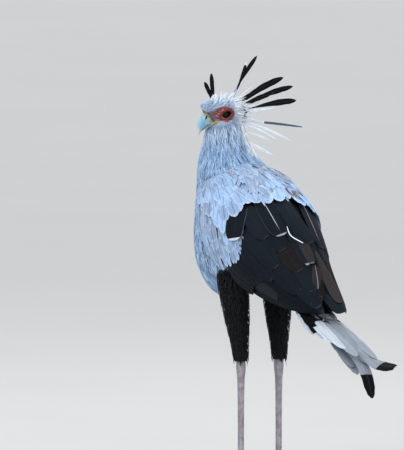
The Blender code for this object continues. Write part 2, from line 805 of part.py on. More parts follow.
def make_thigh(name, mat, side, grow=0.0):
    rings = []
    for z, y, x, hx, hy in THIGH:
        centre = Vector((side * x, y, z))
        rings.append(oval_ring(centre, WORLD_AXES[0], hx + grow, WORLD_AXES[1], hy + grow, 18))
    return add_object(name, ring_loft(rings), mat)


def profile_at(profile, z):
    for low, high in zip(profile, profile[1:]):
        if low[0] <= z <= high[0]:
            t = (z - low[0]) / (high[0] - low[0])
            return low[1] + (high[1] - low[1]) * t
    return profile[-1][1]


def make_tarsus(name, mat, side):
    """Shank whose front and back carry a ladder of raised plates, each proud at its upper rim."""
    low = FOOT_CUT_Z + GAP
    pitch = (ANKLE_Z - low) / SCUTE_COUNT
    levels = [(low, 0.0)]
    for n in range(SCUTE_COUNT):
        base = low + pitch * n
        if n > 0:
            levels.append((base + pitch * 0.04, 0.0))
        levels.append((base + pitch * 0.18, 1.0))
        if n < SCUTE_COUNT - 1:
            levels.append((base + pitch * 0.96, 0.35))
    levels.append((ANKLE_Z, 0.35))
    rings = []
    for z, plate in levels:
        radius = TARSUS_RADIUS * profile_at(TARSUS_PROFILE, z)
        ring = []
        for i in range(8):
            ang = 2 * math.pi * (i + 0.5) / 8
            front = max(0.0, -math.sin(ang)) ** 0.5
            back = 0.55 * max(0.0, math.sin(ang)) ** 0.5
            r = radius + SCUTE_RAISE * plate * max(front, back)
            ring.append(Vector((side * ANKLE_X + r * math.cos(ang), r * LEG_DEPTH * math.sin(ang), z)))
        rings.append(ring)
    return add_object(name, ring_loft(rings), mat)


def toe_frame(side, heading):
    ang = math.radians(heading) * side
    ahead = Vector((math.sin(ang), -math.cos(ang), 0.0))
    start = Vector((side * ANKLE_X, 0.0, 0.0))
    return start, ahead


def make_foot(name, mat, side):
    rings = []
    for z, grow in FOOT_PROFILE:
        centre = Vector((side * ANKLE_X, 0.0, z))
        radius = TARSUS_RADIUS * grow
        rings.append(oval_ring(centre, WORLD_AXES[0], radius, WORLD_AXES[1], radius * LEG_DEPTH, 12))
    foot = add_object(name, ring_loft(rings), mat)
    toes = []
    for _, length, heading, radius in TOES:
        start, ahead = toe_frame(side, heading)
        points = []
        radii = []
        steps = 6
        for i in range(steps + 1):
            t = i / steps
            knuckle = 1.0 + 0.09 * math.cos(t * math.pi * 5)
            r = radius * (1.08 - 0.30 * t) * knuckle
            lift = r * 0.92 + 0.004 * (1 - t) ** 2
            points.append(start + ahead * (length * t) + Vector((0.0, 0.0, lift)))
            radii.append(r)
        toes.append(add_object("toe", level_tube(points, radii, ahead, 8)))
    fuse(foot, toes)
    return foot


def make_claw(name, mat, side, toe):
    _, length, heading, radius = toe
    start, ahead = toe_frame(side, heading)
    points = []
    radii = []
    steps = 4
    base = radius * 0.60
    for i in range(steps + 1):
        t = i / steps
        drop = base * 1.15 + 0.0022 * math.sin(math.pi * min(t * 1.1, 1.0)) - base * 0.75 * t * t
        points.append(start + ahead * (length + GAP + CLAW_LENGTH * t) + Vector((0.0, 0.0, drop)))
        radii.append(base * (1.0 - 0.82 * t))
    return add_object(name, level_tube(points, radii, ahead, 8), mat)


def room_of_torso():
    """The torso's shape with the gap its neighbours keep."""
    return add_object("torso_room", trunk_bm(TRUNK, grow=GAP * 1.6))


def side_axes(side):
    return Vector((side, 0.0, 0.0)), WORLD_AXES[1], WORLD_AXES[2]


def centre_on_floor():
    """Shift every piece level so the whole bird's box is centred over the origin."""
    xs = []
    ys = []
    for obj in bpy.data.objects:
        for vert in obj.data.vertices:
            xs.append(vert.co.x)
            ys.append(vert.co.y)
    shift = Vector((-(min(xs) + max(xs)) / 2, -(min(ys) + max(ys)) / 2, 0.0))
    for obj in bpy.data.objects:
        obj.data.transform(Matrix.Translation(shift))


def smooth(obj):
    obj.data.shade_smooth()
    obj.data.set_sharp_from_angle(angle=SMOOTH_ANGLE)


def main():
    start_empty()
    grey = material("grey_plumage", (0.31, 0.42, 0.57), 0.85)
    pale = material("pale_plumage", (0.50, 0.58, 0.70), 0.85)
    dark = material("dark_plumage", (0.020, 0.020, 0.026), 0.75)
    tail_mat = material("tail_plumage", (0.40, 0.42, 0.46), 0.8)
    black = material("thigh_plumage", (0.010, 0.010, 0.013), 0.85)
    horn = material("bill_horn", (0.27, 0.44, 0.58), 0.4)
    scale = material("leg_scales", (0.36, 0.33, 0.36), 0.6)
    claw_mat = material("claw_horn", (0.05, 0.045, 0.04), 0.45)
    eye_mat = material("eye", (0.05, 0.025, 0.015), 0.08)

    add_object("torso", trunk_bm(TRUNK, high_gap=GAP), grey)
    make_neck(pale)
    make_head(pale)
    make_bill(horn)
    make_tail(tail_mat)
    cut(bpy.data.objects["tail"], room_of_torso())
    for side, word in ((1.0, "left"), (-1.0, "right")):
        eye = ball(f"eye_{word}", head_point(0.0, side * EYE_OUT, 0.0), EYE_RADIUS, 8, 14, HEAD_L)
        eye.data.materials.append(eye_mat)
        thigh = make_thigh(f"thigh_{word}", black, side)
        cut(thigh, room_of_torso())
        wing = make_wing(f"wing_{word}", dark, side)
        cut(wing, room_of_torso())
        cut(wing, make_thigh("thigh_room", None, side, GAP * 1.6))
        cut(wing, rump(None, GAP * 1.6))
        far_side = box_between((-0.3, -0.5, 0.0), (GAP / 2, 0.9, 1.2), side_axes(side), Vector())
        cut(wing, add_object("far_side", far_side))
        make_tarsus(f"tarsus_{word}", scale, side)
        make_foot(f"foot_{word}", scale, side)
        for toe in TOES:
            make_claw(f"claw_{word}_{toe[0]}", claw_mat, side, toe)
    centre_on_floor()
    for obj in bpy.data.objects:
        smooth(obj)


main()
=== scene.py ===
"""Looks of a standing secretary bird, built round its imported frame."""
import math

import bpy
import numpy as np
from mathutils import Matrix, Vector


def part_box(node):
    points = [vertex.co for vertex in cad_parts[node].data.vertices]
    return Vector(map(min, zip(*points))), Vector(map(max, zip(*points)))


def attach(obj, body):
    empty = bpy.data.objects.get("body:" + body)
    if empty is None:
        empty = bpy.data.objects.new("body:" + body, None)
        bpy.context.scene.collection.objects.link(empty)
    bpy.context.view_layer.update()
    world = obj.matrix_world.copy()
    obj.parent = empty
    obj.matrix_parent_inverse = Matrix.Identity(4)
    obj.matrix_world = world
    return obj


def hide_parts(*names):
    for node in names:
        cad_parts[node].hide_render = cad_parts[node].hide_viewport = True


bl_info = {
    "name": "Secretary bird",
    "version": (1, 0, 0),
    "blender": (4, 5, 0),
    "location": "View3D > Sidebar > Bird",
    "description": "Plumage, bare parts and stage of a life-size secretary bird",
    "category": "Object",
}

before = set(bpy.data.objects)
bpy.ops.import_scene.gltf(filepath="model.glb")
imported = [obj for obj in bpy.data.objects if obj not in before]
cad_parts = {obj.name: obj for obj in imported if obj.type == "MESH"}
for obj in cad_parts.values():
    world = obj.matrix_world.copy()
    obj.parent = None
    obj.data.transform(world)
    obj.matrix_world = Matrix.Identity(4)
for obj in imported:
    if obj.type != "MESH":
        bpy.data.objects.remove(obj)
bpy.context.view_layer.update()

SIDES = ((1.0, "left"), (-1.0, "right"))
TURN = 2 * math.pi
WAVE_TURN = 6.283  # a turn in the paints' waves
AROUND = (0.0, TURN)
UP = np.array([0.0, 0.0, 1.0])
SEEDS = {"head": 11, "body": 23, "thigh": 31, "wing": 47, "tail": 59, "crest": 71}

# The bird's own origin is midway between its feet; the frame's is under its middle
ANKLE_X = 0.057
LEG_LOW, LEG_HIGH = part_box("tarsus_left")
SHIFT = np.array([(LEG_LOW[0] + LEG_HIGH[0]) / 2 - ANKLE_X, (LEG_LOW[1] + LEG_HIGH[1]) / 2, 0.0])

# Level slices of trunk and neck: height, centre y, half width, half length
BODY_SLICES = (
    (0.492, -0.150, 0.022, 0.036), (0.505, -0.140, 0.046, 0.072), (0.525, -0.115, 0.066, 0.115),
    (0.545, -0.096, 0.080, 0.152), (0.570, -0.074, 0.093, 0.190), (0.605, -0.069, 0.101, 0.202),
    (0.645, -0.073, 0.106, 0.196), (0.690, -0.081, 0.108, 0.177), (0.730, -0.092, 0.107, 0.155),
    (0.770, -0.104, 0.103, 0.131), (0.805, -0.119, 0.095, 0.108), (0.830, -0.133, 0.087, 0.094),
    (0.850, -0.146, 0.077, 0.081), (0.866, -0.151, 0.070, 0.072), (0.884, -0.154, 0.063, 0.065),
    (0.905, -0.155, 0.056, 0.058), (0.925, -0.155, 0.052, 0.054), (0.940, -0.155, 0.048, 0.047),
    (0.952, -0.155, 0.040, 0.036), (0.966, -0.155, 0.030, 0.024),
)
NECK_X = 0.014
LEAN_LOW, LEAN_HIGH = 0.74, 0.925

# Head axes: it looks to the bird's left and a little down
HEAD_AT = np.array([0.022, -0.155, 0.968])
HEAD_YAW = math.radians(83.0)
HEAD_PITCH = math.radians(14.0)

# Skull stations in head axes: forward, top, bottom, half width
SKULL = (
    (-0.054, 0.016, -0.022, 0.014), (-0.048, 0.027, -0.036, 0.023), (-0.036, 0.035, -0.044, 0.0285),
    (-0.020, 0.039, -0.044, 0.0295), (-0.004, 0.041, -0.041, 0.0275), (0.010, 0.043, -0.036, 0.0250),
    (0.022, 0.045, -0.031, 0.0220), (0.034, 0.043, -0.028, 0.0190), (0.044, 0.0420, -0.027, 0.0162),
    (0.052, 0.0375, -0.026, 0.0132), (0.058, 0.0305, -0.020, 0.0086),
)
SKULL_POWER = 2.15
SKULL_SPAN = (-0.054, 0.057)

# Bill stations: top edge (forward, up), bottom edge (forward, up), half width
BILL = (
    (0.0300, 0.0260, 0.0180, -0.0200, 0.0170), (0.0430, 0.0225, 0.0340, -0.0218, 0.0145),
    (0.0520, 0.0165, 0.0480, -0.0238, 0.0115), (0.0610, 0.0105, 0.0570, -0.0250, 0.0094),
    (0.0690, 0.0030, 0.0630, -0.0256, 0.0076), (0.0750, -0.0060, 0.0675, -0.0262, 0.0060),
    (0.0787, -0.0150, 0.0710, -0.0272, 0.0046), (0.0802, -0.0230, 0.0742, -0.0300, 0.0034),
    (0.0804, -0.0290, 0.0762, -0.0330, 0.0025), (0.0800, -0.0340, 0.0782, -0.0355, 0.0012),
)
MOUTH_LINE = (
    (0.015, -0.0135), (0.030, -0.0120), (0.045, -0.0135), (0.057, -0.0172), (0.066, -0.0212),
    (0.0712, -0.0245), (0.0742, -0.0290), (0.0760, -0.0350), (0.0762, -0.0420),
)
GAPE_LINE = ((0.047, -0.0140), (0.032, -0.0122), (0.018, -0.0140), (0.006, -0.0185), (-0.005, -0.0232))
NOSTRIL_AT = (0.0512, 0.0058)
NOSTRIL_SLANT = math.radians(58.0)
CERE_SLOPE = 0.58
BILL_SEAM_F = 0.041
BILL_SEAM_SLOPE = math.tan(math.radians(22.0))
EYE_RADIUS = 0.0112
EYE_OUT = 0.0142
LID_LONG = 0.0108
LID_TALL = 0.0074
EYE_TILT = math.radians(14.0)

# Bare skin round the eye: angle from straight ahead in degrees, reach from the eye
BARE_REACH = (
    (-180, 0.0215), (-150, 0.0190), (-125, 0.0180), (-103, 0.0190), (-75, 0.0188), (-49, 0.0190),
    (-23, 0.0240), (-8, 0.0300), (5, 0.0365), (27, 0.0365), (42, 0.0320), (59, 0.0270), (83, 0.0230),
    (114, 0.0205), (146, 0.0210), (180, 0.0215),
)

# Crest plumes in head axes: root and tip (forward, left, up), half width, bow, kind
CREST = (
    (0.013, -0.014, 0.030, -0.002, -0.020, 0.1085, 0.0062, 0.000, "full"),
    (0.010, -0.016, 0.030, 0.0175, -0.030, 0.0900, 0.0062, 0.000, "full"),
    (-0.026, -0.002, 0.026, -0.130, 0.000, 0.1215, 0.0058, 0.004, "blue"),
    (-0.028, 0.010, 0.026, -0.095, 0.010, 0.1170, 0.0044, -0.004, "tipped"),
    (-0.040, 0.004, 0.010, -0.187, 0.004, 0.0470, 0.0088, 0.007, "full"),
    (-0.038, 0.012, 0.004, -0.144, 0.018, 0.0186, 0.0070, 0.003, "full"),
    (-0.042, -0.006, 0.002, -0.214, -0.012, 0.0140, 0.0078, 0.006, "stalk"),
    (-0.041, 0.008, -0.006, -0.204, 0.014, -0.0195, 0.0088, 0.005, "stalk"),
    (-0.037, -0.012, 0.010, -0.112, -0.020, 0.0240, 0.0060, 0.004, "stalk"),
    (-0.040, 0.018, -0.0155, -0.059, 0.026, -0.0085, 0.0022, 0.000, "short"),
    (-0.038, 0.018, -0.0220, -0.050, 0.025, -0.0165, 0.0022, 0.000, "short"),
    (-0.036, 0.016, -0.012, -0.143, 0.022, -0.0210, 0.0016, 0.002, "white"),
    (-0.038, -0.010, -0.030, -0.223, -0.010, -0.1010, 0.0034, 0.003, "grey"),
    (-0.038, 0.006, -0.026, -0.169, 0.008, -0.1222, 0.0035, 0.006, "white"),
    (-0.036, 0.010, -0.034, -0.130, 0.010, -0.1070, 0.0032, 0.006, "white"),
    (-0.034, 0.010, -0.056, -0.107, 0.012, -0.1010, 0.0027, 0.004, "white"),
    (-0.032, 0.012, -0.080, -0.107, 0.016, -0.1440, 0.0046, 0.003, "white"),
    (-0.004, 0.000, 0.034, -0.011, 0.000, 0.0600, 0.0034, 0.000, "tuft"),
    (-0.028, 0.002, 0.028, -0.052, 0.002, 0.0440, 0.0040, 0.003, "tuft"),
    (0.010, -0.004, 0.036, 0.001, -0.004, 0.0505, 0.0030, 0.000, "tuft"),
    (-0.018, -0.004, 0.032, -0.026, -0.004, 0.0495, 0.0030, 0.000, "tuft"),
    (0.014, -0.006, 0.036, 0.012, -0.006, 0.0580, 0.0013, 0.000, "tuft"),
    (-0.036, 0.004, 0.024, -0.079, 0.004, 0.0330, 0.0015, 0.002, "tuft"),
    (-0.038, 0.006, 0.016, -0.073, 0.006, 0.0262, 0.0014, 0.002, "tuft"),
    (-0.036, -0.004, 0.026, -0.071, -0.004, 0.0313, 0.0016, 0.002, "tuft"),
    (-0.040, 0.006, 0.012, -0.080, 0.006, 0.0154, 0.0014, 0.002, "tuft"),
)

# Folded wing's outer surface: back, middle and lower line from shoulder to tip
WING_UPPER = (
    (0.052, -0.125, 0.834), (0.022, -0.020, 0.828), (0.010, 0.085, 0.788), (0.009, 0.190, 0.705),
    (0.015, 0.295, 0.590), (0.030, 0.385, 0.492),
)
WING_MIDDLE = (
    (0.112, -0.130, 0.765), (0.130, -0.045, 0.748), (0.128, 0.065, 0.704), (0.110, 0.168, 0.638),
    (0.075, 0.275, 0.556), (0.036, 0.388, 0.488),
)
WING_LOWER = (
    (0.100, -0.140, 0.680), (0.110, -0.065, 0.600), (0.108, 0.040, 0.556), (0.094, 0.140, 0.522),
    (0.072, 0.245, 0.494), (0.038, 0.383, 0.482),
)

# The right wing lies closer round a place along it: share, place, width
RIGHT_WING_TUCK = (0.11, 0.66, 0.20)

# Thigh and shank stations: height, y, x, half width, half length; then height, share of radius
THIGH = (
    (0.3283, 0.001, 0.0575, 0.0215, 0.0235), (0.345, 0.001, 0.0580, 0.0230, 0.0255),
    (0.380, -0.003, 0.0595, 0.0250, 0.0290), (0.430, -0.010, 0.0615, 0.0285, 0.0360),
    (0.480, -0.018, 0.0635, 0.0320, 0.0440), (0.520, -0.025, 0.0650, 0.0340, 0.0510),
    (0.555, -0.030, 0.0650, 0.0330, 0.0550), (0.590, -0.034, 0.0600, 0.0280, 0.0510),
)
TARSUS_PROFILE = (
    (0.026, 1.28), (0.034, 1.20), (0.050, 1.05), (0.080, 0.95), (0.160, 0.95), (0.240, 1.00), (0.285, 1.12),
    (0.305, 1.38), (0.318, 1.50), (0.335, 1.40), (0.350, 1.10),
)
TARSUS_RADIUS = 0.0080
TARSUS_DEPTH = 1.15
SHANK_LOW, SHANK_HIGH, SHANK_LENGTH = 0.030, 0.348, 0.318
SCUTE_COUNT = 34
SCUTE_LENGTH = 0.0042

# Foot's hub: height, share of radius; toes: number, length, heading in degrees, radius
HUB = ((0.002, 1.22), (0.006, 1.55), (0.012, 1.72), (0.018, 1.62), (0.024, 1.48), (0.030, 1.30),
       (0.036, 1.20))
TOES = (
    (1, 0.062, 27.0, 0.0070), (2, 0.086, 2.0, 0.0078), (3, 0.066, -26.0, 0.0070), (4, 0.036, 176.0, 0.0064),
)
CLAW_LENGTH = 0.019

# Tail: tips and half widths of a side's outer feathers, the two long ones, four low ones
TAIL_TIPS = (
    (0.036, 0.560, 0.392, 0.0170), (0.045, 0.515, 0.408, 0.0170), (0.052, 0.470, 0.420, 0.0165),
    (0.057, 0.425, 0.428, 0.0155), (0.061, 0.385, 0.435, 0.0145),
)
TAIL_MIDDLE_RIGHT = (
    (-0.008, 0.215, 0.520), (-0.007, 0.340, 0.476), (-0.005, 0.457, 0.428), (-0.008, 0.552, 0.382),
    (-0.014, 0.606, 0.369), (-0.020, 0.668, 0.369),
)
TAIL_MIDDLE_LEFT = (
    (0.012, 0.215, 0.512), (0.014, 0.340, 0.466), (0.013, 0.446, 0.421), (0.013, 0.527, 0.3845),
    (0.015, 0.576, 0.3420), (0.018, 0.607, 0.2860),
)
TAIL_MIDDLE_WIDTH = 0.0185
TAIL_LOW_TIPS = ((0.030, 0.529, 0.360), (0.027, 0.548, 0.343), (0.004, 0.556, 0.372), (-0.012, 0.545, 0.386))

# Rump stations: y, height, half width, half thickness
RUMP = (
    (0.060, 0.585, 0.040, 0.024), (0.085, 0.578, 0.045, 0.028), (0.130, 0.560, 0.048, 0.030),
    (0.180, 0.540, 0.045, 0.025), (0.230, 0.516, 0.038, 0.017), (0.290, 0.492, 0.030, 0.009),
    (0.350, 0.468, 0.022, 0.005),
)

# Colours of the plumage, linear
SKY_GREY = np.array([0.195, 0.330, 0.535])
PALE_GREY = np.array([0.34, 0.46, 0.63])
CROWN_GREY = np.array([0.47, 0.59, 0.78])
WHITE = np.array([0.66, 0.75, 0.84])
SILK_WHITE = np.array([0.78, 0.84, 0.90])
COVERT_GREY = np.array([0.225, 0.330, 0.505])
MANTLE_GREY = np.array([0.23, 0.265, 0.365])
BLACK = np.array([0.0045, 0.0050, 0.0065])
INK = np.array([0.0062, 0.0098, 0.0155])
BROWN = np.array([0.0092, 0.0080, 0.0086])
UMBER = np.array([0.0250, 0.0220, 0.0245])
DUN = np.array([0.0360, 0.0310, 0.0330])
TAIL_GREY = np.array([0.25, 0.28, 0.33])
TAIL_WHITE = np.array([0.50, 0.56, 0.63])
LORE_GREY = np.array([0.26, 0.20, 0.22])

# Where the pale belly gives way to the black thighs and vent, as y at 0.58 high
BELLY_END = -0.085

# Outlines of feathers: part of the length, share of the half width
ROUND_SHAPE = np.array([(0.0, 0.42), (0.22, 0.78), (0.50, 1.0), (0.78, 0.95), (0.92, 0.66), (1.0, 0.16)])
LANCE_SHAPE = np.array([(0.0, 0.40), (0.22, 0.82), (0.48, 1.0), (0.72, 0.74), (0.90, 0.36), (1.0, 0.06)])
LONG_SHAPE = np.array([(0.0, 0.45), (0.25, 0.85), (0.55, 1.0), (0.82, 0.90), (0.95, 0.60), (1.0, 0.18)])
STRAND_SHAPE = np.array([(0.0, 0.50), (0.25, 0.95), (0.55, 0.90), (0.82, 0.52), (1.0, 0.05)])
TUFT_SHAPE = np.array([(0.0, 0.60), (0.30, 1.0), (0.60, 0.82), (0.85, 0.40), (1.0, 0.05)])
FLIGHT_SHAPE = np.array([
    (0.0, 0.30), (0.12, 0.62), (0.35, 0.90), (0.65, 1.0), (0.86, 0.94), (0.95, 0.70), (0.985, 0.42),
    (1.0, 0.12),
])
BROAD_SHAPE = np.array([
    (0.0, 0.40), (0.15, 0.74), (0.45, 0.97), (0.75, 1.0), (0.90, 0.86), (0.97, 0.55), (1.0, 0.14),
])
PLUME_SHAPE = np.array([
    (0.0, 0.20), (0.30, 0.22), (0.45, 0.55), (0.70, 0.98), (0.88, 0.90), (0.96, 0.55), (1.0, 0.14),
])
FULL_SHAPE = np.array([
    (0.0, 0.36), (0.12, 0.46), (0.30, 0.70), (0.60, 0.98), (0.84, 0.92), (0.95, 0.55), (1.0, 0.14),
])
SQUARE_SHAPE = np.array([
    (0.0, 0.40), (0.15, 0.74), (0.45, 0.97), (0.78, 1.0), (0.90, 0.90), (0.965, 0.66), (0.99, 0.42),
    (1.0, 0.20),
])
QUILL_SHAPE = np.array([(0.0, 0.40), (0.3, 0.85), (0.6, 1.0), (0.85, 0.70), (1.0, 0.12)])


def unit(v):
    return v / np.maximum(np.linalg.norm(v, axis=-1, keepdims=True), 1e-9)


def ease(x, low, high):
    """Smooth rise from 0 at low to 1 at high."""
    t = np.clip((np.asarray(x, float) - low) / (high - low), 0.0, 1.0)
    return t * t * (3.0 - 2.0 * t)


def fall(x, low, high):
    """Smooth fall from 1 at low to 0 at high."""
    return 1.0 - ease(x, low, high)


def bell(x, middle, width):
    return np.exp(-((x - middle) / width) ** 2)


def split(points):
    """The points' x, y and z as arrays of their own."""
    return np.moveaxis(points, -1, 0)


def circle(count):
    """Angles of one full turn."""
    return np.linspace(0, TURN, count, endpoint=False)


def over(colour, other, share):
    """A colour with a share of another laid over it."""
    share = np.asarray(share)[..., None]
    return colour * (1 - share) + other * share


def curve(points, t):
    """Smooth curve through points, t from 0 to 1, straight on past its ends."""
    pts = np.asarray(points, float)
    last = len(pts) - 1
    s = np.asarray(t, float) * last
    inside = np.clip(s, 0.0, last)
    i = np.minimum(inside.astype(int), last - 1)
    f = (inside - i)[..., None]
    padded = np.vstack([2 * pts[0] - pts[1], pts, 2 * pts[-1] - pts[-2]])
    p0, p1, p2, p3 = (padded[i + k] for k in range(4))
    m1 = (p2 - p0) / 2
    m2 = (p3 - p1) / 2
    f2 = f * f
    f3 = f2 * f
    at = p1 * (2 * f3 - 3 * f2 + 1) + m1 * (f3 - 2 * f2 + f) + p2 * (3 * f2 - 2 * f3) + m2 * (f3 - f2)
    slope = np.where(s[..., None] > last, m2, m1)
    return at + slope * (s - inside)[..., None]


def fine(rows, count=240):
    return curve(rows, np.linspace(0.0, 1.0, count))


def rows_at(rows, x):
    """The other columns of a table at places along its first."""
    return [np.interp(x, rows[:, 0], rows[:, k]) for k in range(1, rows.shape[1])]


TABLES = (BODY_SLICES, SKULL, THIGH, RUMP, WING_UPPER)
BODY_FINE, SKULL_FINE, THIGH_FINE, RUMP_FINE, SADDLE_FINE = map(fine, TABLES)
TAIL_UP = unit(np.array([0.0, 0.36, 0.93]))


def head_axes():
    """Directions forward, to the left and up of the head."""
    level = np.array([math.sin(HEAD_YAW), -math.cos(HEAD_YAW), 0.0])
    side = np.array([-level[1], level[0], 0.0])
    forward = level * math.cos(HEAD_PITCH) - UP * math.sin(HEAD_PITCH)
    crown = level * math.sin(HEAD_PITCH) + UP * math.cos(HEAD_PITCH)
    return forward, side, crown


HEAD_F, HEAD_L, HEAD_U = head_axes()


def head_point(f, l, u):
    f, l, u = np.broadcast_arrays(np.asarray(f, float), l, u)
    return HEAD_AT + f[..., None] * HEAD_F + l[..., None] * HEAD_L + u[..., None] * HEAD_U


def in_head(points):
    """Forward, left and up of points in head axes."""
    away = points - HEAD_AT
    return away @ HEAD_F, away @ HEAD_L, away @ HEAD_U


def body_place(turn, z):
    yc, hx, hy = rows_at(BODY_FINE, z)
    lean = NECK_X * np.clip((z - LEAN_LOW) / (LEAN_HIGH - LEAN_LOW), 0.0, 1.0)
    return np.stack([lean + hx * np.cos(turn), yc + hy * np.sin(turn), z + 0 * turn], -1)


def skull_place(turn, f):
    top, bottom, half = rows_at(SKULL_FINE, f)
    c, s = np.cos(turn), np.sin(turn)
    across, rise = (np.sign(w) * np.abs(w) ** (2 / SKULL_POWER) for w in (c, s))
    return head_point(f, half * across, (top + bottom) / 2 + (top - bottom) / 2 * rise)


def thigh_place(side):
    def place(turn, z):
        y, x, hx, hy = rows_at(THIGH_FINE, z)
        return np.stack([side * x + hx * np.cos(turn), y + hy * np.sin(turn), z + 0 * turn], -1)

    return place


def wing_place(side):
    def place(a, b):
        upper, middle, lower = (curve(line, a) for line in (WING_UPPER, WING_MIDDLE, WING_LOWER))
        knee = middle * 2 - (upper + lower) / 2
        b = np.asarray(b, float)[..., None]
        out = (upper * (1 - b) ** 2 + knee * (2 * b * (1 - b)) + lower * (b * b)) * [side, 1.0, 1.0]
        if side < 0:
            share, middle, width = RIGHT_WING_TUCK
            out[..., 0] *= 1.0 - share * bell(np.asarray(a), middle, width)
        return out

    return place


def rump_place(turn, y):
    z, half, thick = rows_at(RUMP_FINE, y)
    out = np.stack([half * np.cos(turn), y + 0 * turn, z], -1)
    return out + TAIL_UP * (thick * np.sin(turn))[..., None]


def saddle_place(x, y):
    """Top of the back between the wings."""
    z = np.interp(y, SADDLE_FINE[:, 1], SADDLE_FINE[:, 2])
    return np.stack([x, y + 0 * x, z + 0.004 - 3.2 * x * x], -1)


class Form:
    """A shape of the bird given by two numbers a point, with its outward side."""

    def __init__(self, place, step_u, step_v, sign=1.0):
        self.place = place
        self.step_u = step_u
        self.step_v = step_v
        self.sign = sign

    def at(self, u, v):
        """Points, both slopes and the outward direction."""
        hu, hv = self.step_u, self.step_v
        along_u = (self.place(u + hu, v) - self.place(u - hu, v)) / (2 * hu)
        along_v = (self.place(u, v + hv) - self.place(u, v - hv)) / (2 * hv)
        return self.place(u, v), along_u, along_v, unit(np.cross(along_u, along_v)) * self.sign

    def sunk(self, u, v, depth):
        """Points at a depth under the surface."""
        point, _, _, normal = self.at(u, v)
        return point - normal * np.asarray(depth)[..., None]

    def trace(self, u, v, aim, lengths, parts, twist):
        """Follow the aim over the surface, from the root or back from the tip."""
        points, normals = [], []
        for n, part in enumerate(parts):
            point, pu, pv, normal = self.at(u, v)
            points.append(point)
            normals.append(normal)
            if n + 1 == len(parts):
                break
            way = aim(point, u, v)
            way = unit(way - normal * np.sum(way * normal, -1, keepdims=True))
            way = way * np.cos(twist)[:, None] + np.cross(normal, way) * np.sin(twist)[:, None]
            step = way * (lengths * (parts[n + 1] - part))[:, None]
            pairs = ((pu, pu), (pu, pv), (pv, pv), (pu, step), (pv, step))
            a, b, c, e, g = (np.sum(one * two, -1) for one, two in pairs)
            det = np.maximum(a * c - b * b, 1e-12)
            u = u + (c * e - b * g) / det
            v = v + (a * g - b * e) / det
        return np.stack(points, 1), np.stack(normals, 1)


BODY = Form(body_place, 0.01, 0.002)
HEAD = Form(skull_place, 0.01, 0.0008)
THIGHS = {side: Form(thigh_place(side), 0.01, 0.002) for side, _ in SIDES}
WINGS = {side: Form(wing_place(side), 0.004, 0.004, -side) for side, _ in SIDES}
RUMP_FORM = Form(rump_place, 0.01, 0.002)
SADDLE = Form(saddle_place, 0.002, 0.004)


def bare_limit(angle):
    """Reach of the bare skin from the eye at angles in degrees."""
    table = np.array(BARE_REACH)
    return np.interp(angle, table[:, 0], table[:, 1])


def bare_reach(f, u):
    """Distance from the eye over the reach of the bare skin, 1 at its rim."""
    return np.hypot(f, u) / bare_limit(np.degrees(np.arctan2(u, f)))


def bareness(points):
    """1 on the bare skin of the face, 0 where feathers grow."""
    f, l, u = in_head(points)
    near = (np.abs(l) > 0.006) & (np.abs(l) < 0.045)
    return near * fall(bare_reach(f, u), 0.94, 1.04)


def skull_half(f, u):
    """Half width of the skull at a forward and up position."""
    top, bottom, half = rows_at(SKULL_FINE, f)
    rise = np.clip(np.abs((u - (top + bottom) / 2) / ((top - bottom) / 2)), 0.0, 1.0)
    return half * (1.0 - rise ** SKULL_POWER) ** (1 / SKULL_POWER)


def coat_colour(points):
    """Ground colour of skin and plumage on head, neck, trunk and thighs."""
    _, y, z = split(points)
    f, _, u = in_head(points)
    colour = over(SKY_GREY, PALE_GREY, ease(z, 0.89, 0.945))
    colour = over(colour, CROWN_GREY, ease(u, 0.010, 0.026) * ease(z, 0.93, 0.96))
    cheek = ease(-u, 0.0, 0.02) * ease(z, 0.91, 0.935) * fall(-u, 0.045, 0.06)
    colour = over(colour, PALE_GREY * 1.05, cheek)
    colour = over(colour, SILK_WHITE, ease(-f, 0.010, 0.036) * ease(z, 0.87, 0.90))
    lore = ease(f, 0.026, 0.036) * fall(np.abs(u - 0.003), 0.012, 0.018) * (z > 0.93)
    colour = over(colour, LORE_GREY, lore)
    behind = ease(y + 0.45 * (0.58 - z), BELLY_END - 0.012, BELLY_END + 0.012)
    return over(colour, BLACK, behind * fall(z, 0.575, 0.605))


def ring_faces(count, rings, around):
    """Side quads, root caps and tip caps of many closed blades of equal make."""
    first = np.arange(count)[:, None, None] * rings * around
    ring = np.arange(rings - 1)[None, :, None] * around
    j = np.arange(around)[None, None, :]
    k = (j + 1) % around
    base = first + ring
    quads = np.stack([base + j, base + k, base + around + k, base + around + j], -1).reshape(-1, 4)
    caps = np.arange(count)[:, None] * rings * around + np.arange(around)[None, :]
    return [quads, caps[:, ::-1], caps + (rings - 1) * around]


def smooth(mesh, sharp):
    """Smooth shading, but for edges over an angle in degrees, if one is given."""
    mesh.shade_smooth()
    if sharp:
        mesh.set_sharp_from_angle(angle=math.radians(sharp))


def add_mark(mesh, key, values):
    """A colour of four numbers or a vector of three at each point."""
    values = np.asarray(values, np.float32)
    if values.shape[-1] == 4:
        group, kind, part = mesh.color_attributes, "FLOAT_COLOR", "color"
    else:
        group, kind, part = mesh.attributes, "FLOAT_VECTOR", "vector"
    group.new(name=key, type=kind, domain="POINT")
    group[key].data.foreach_set(part, values.ravel())


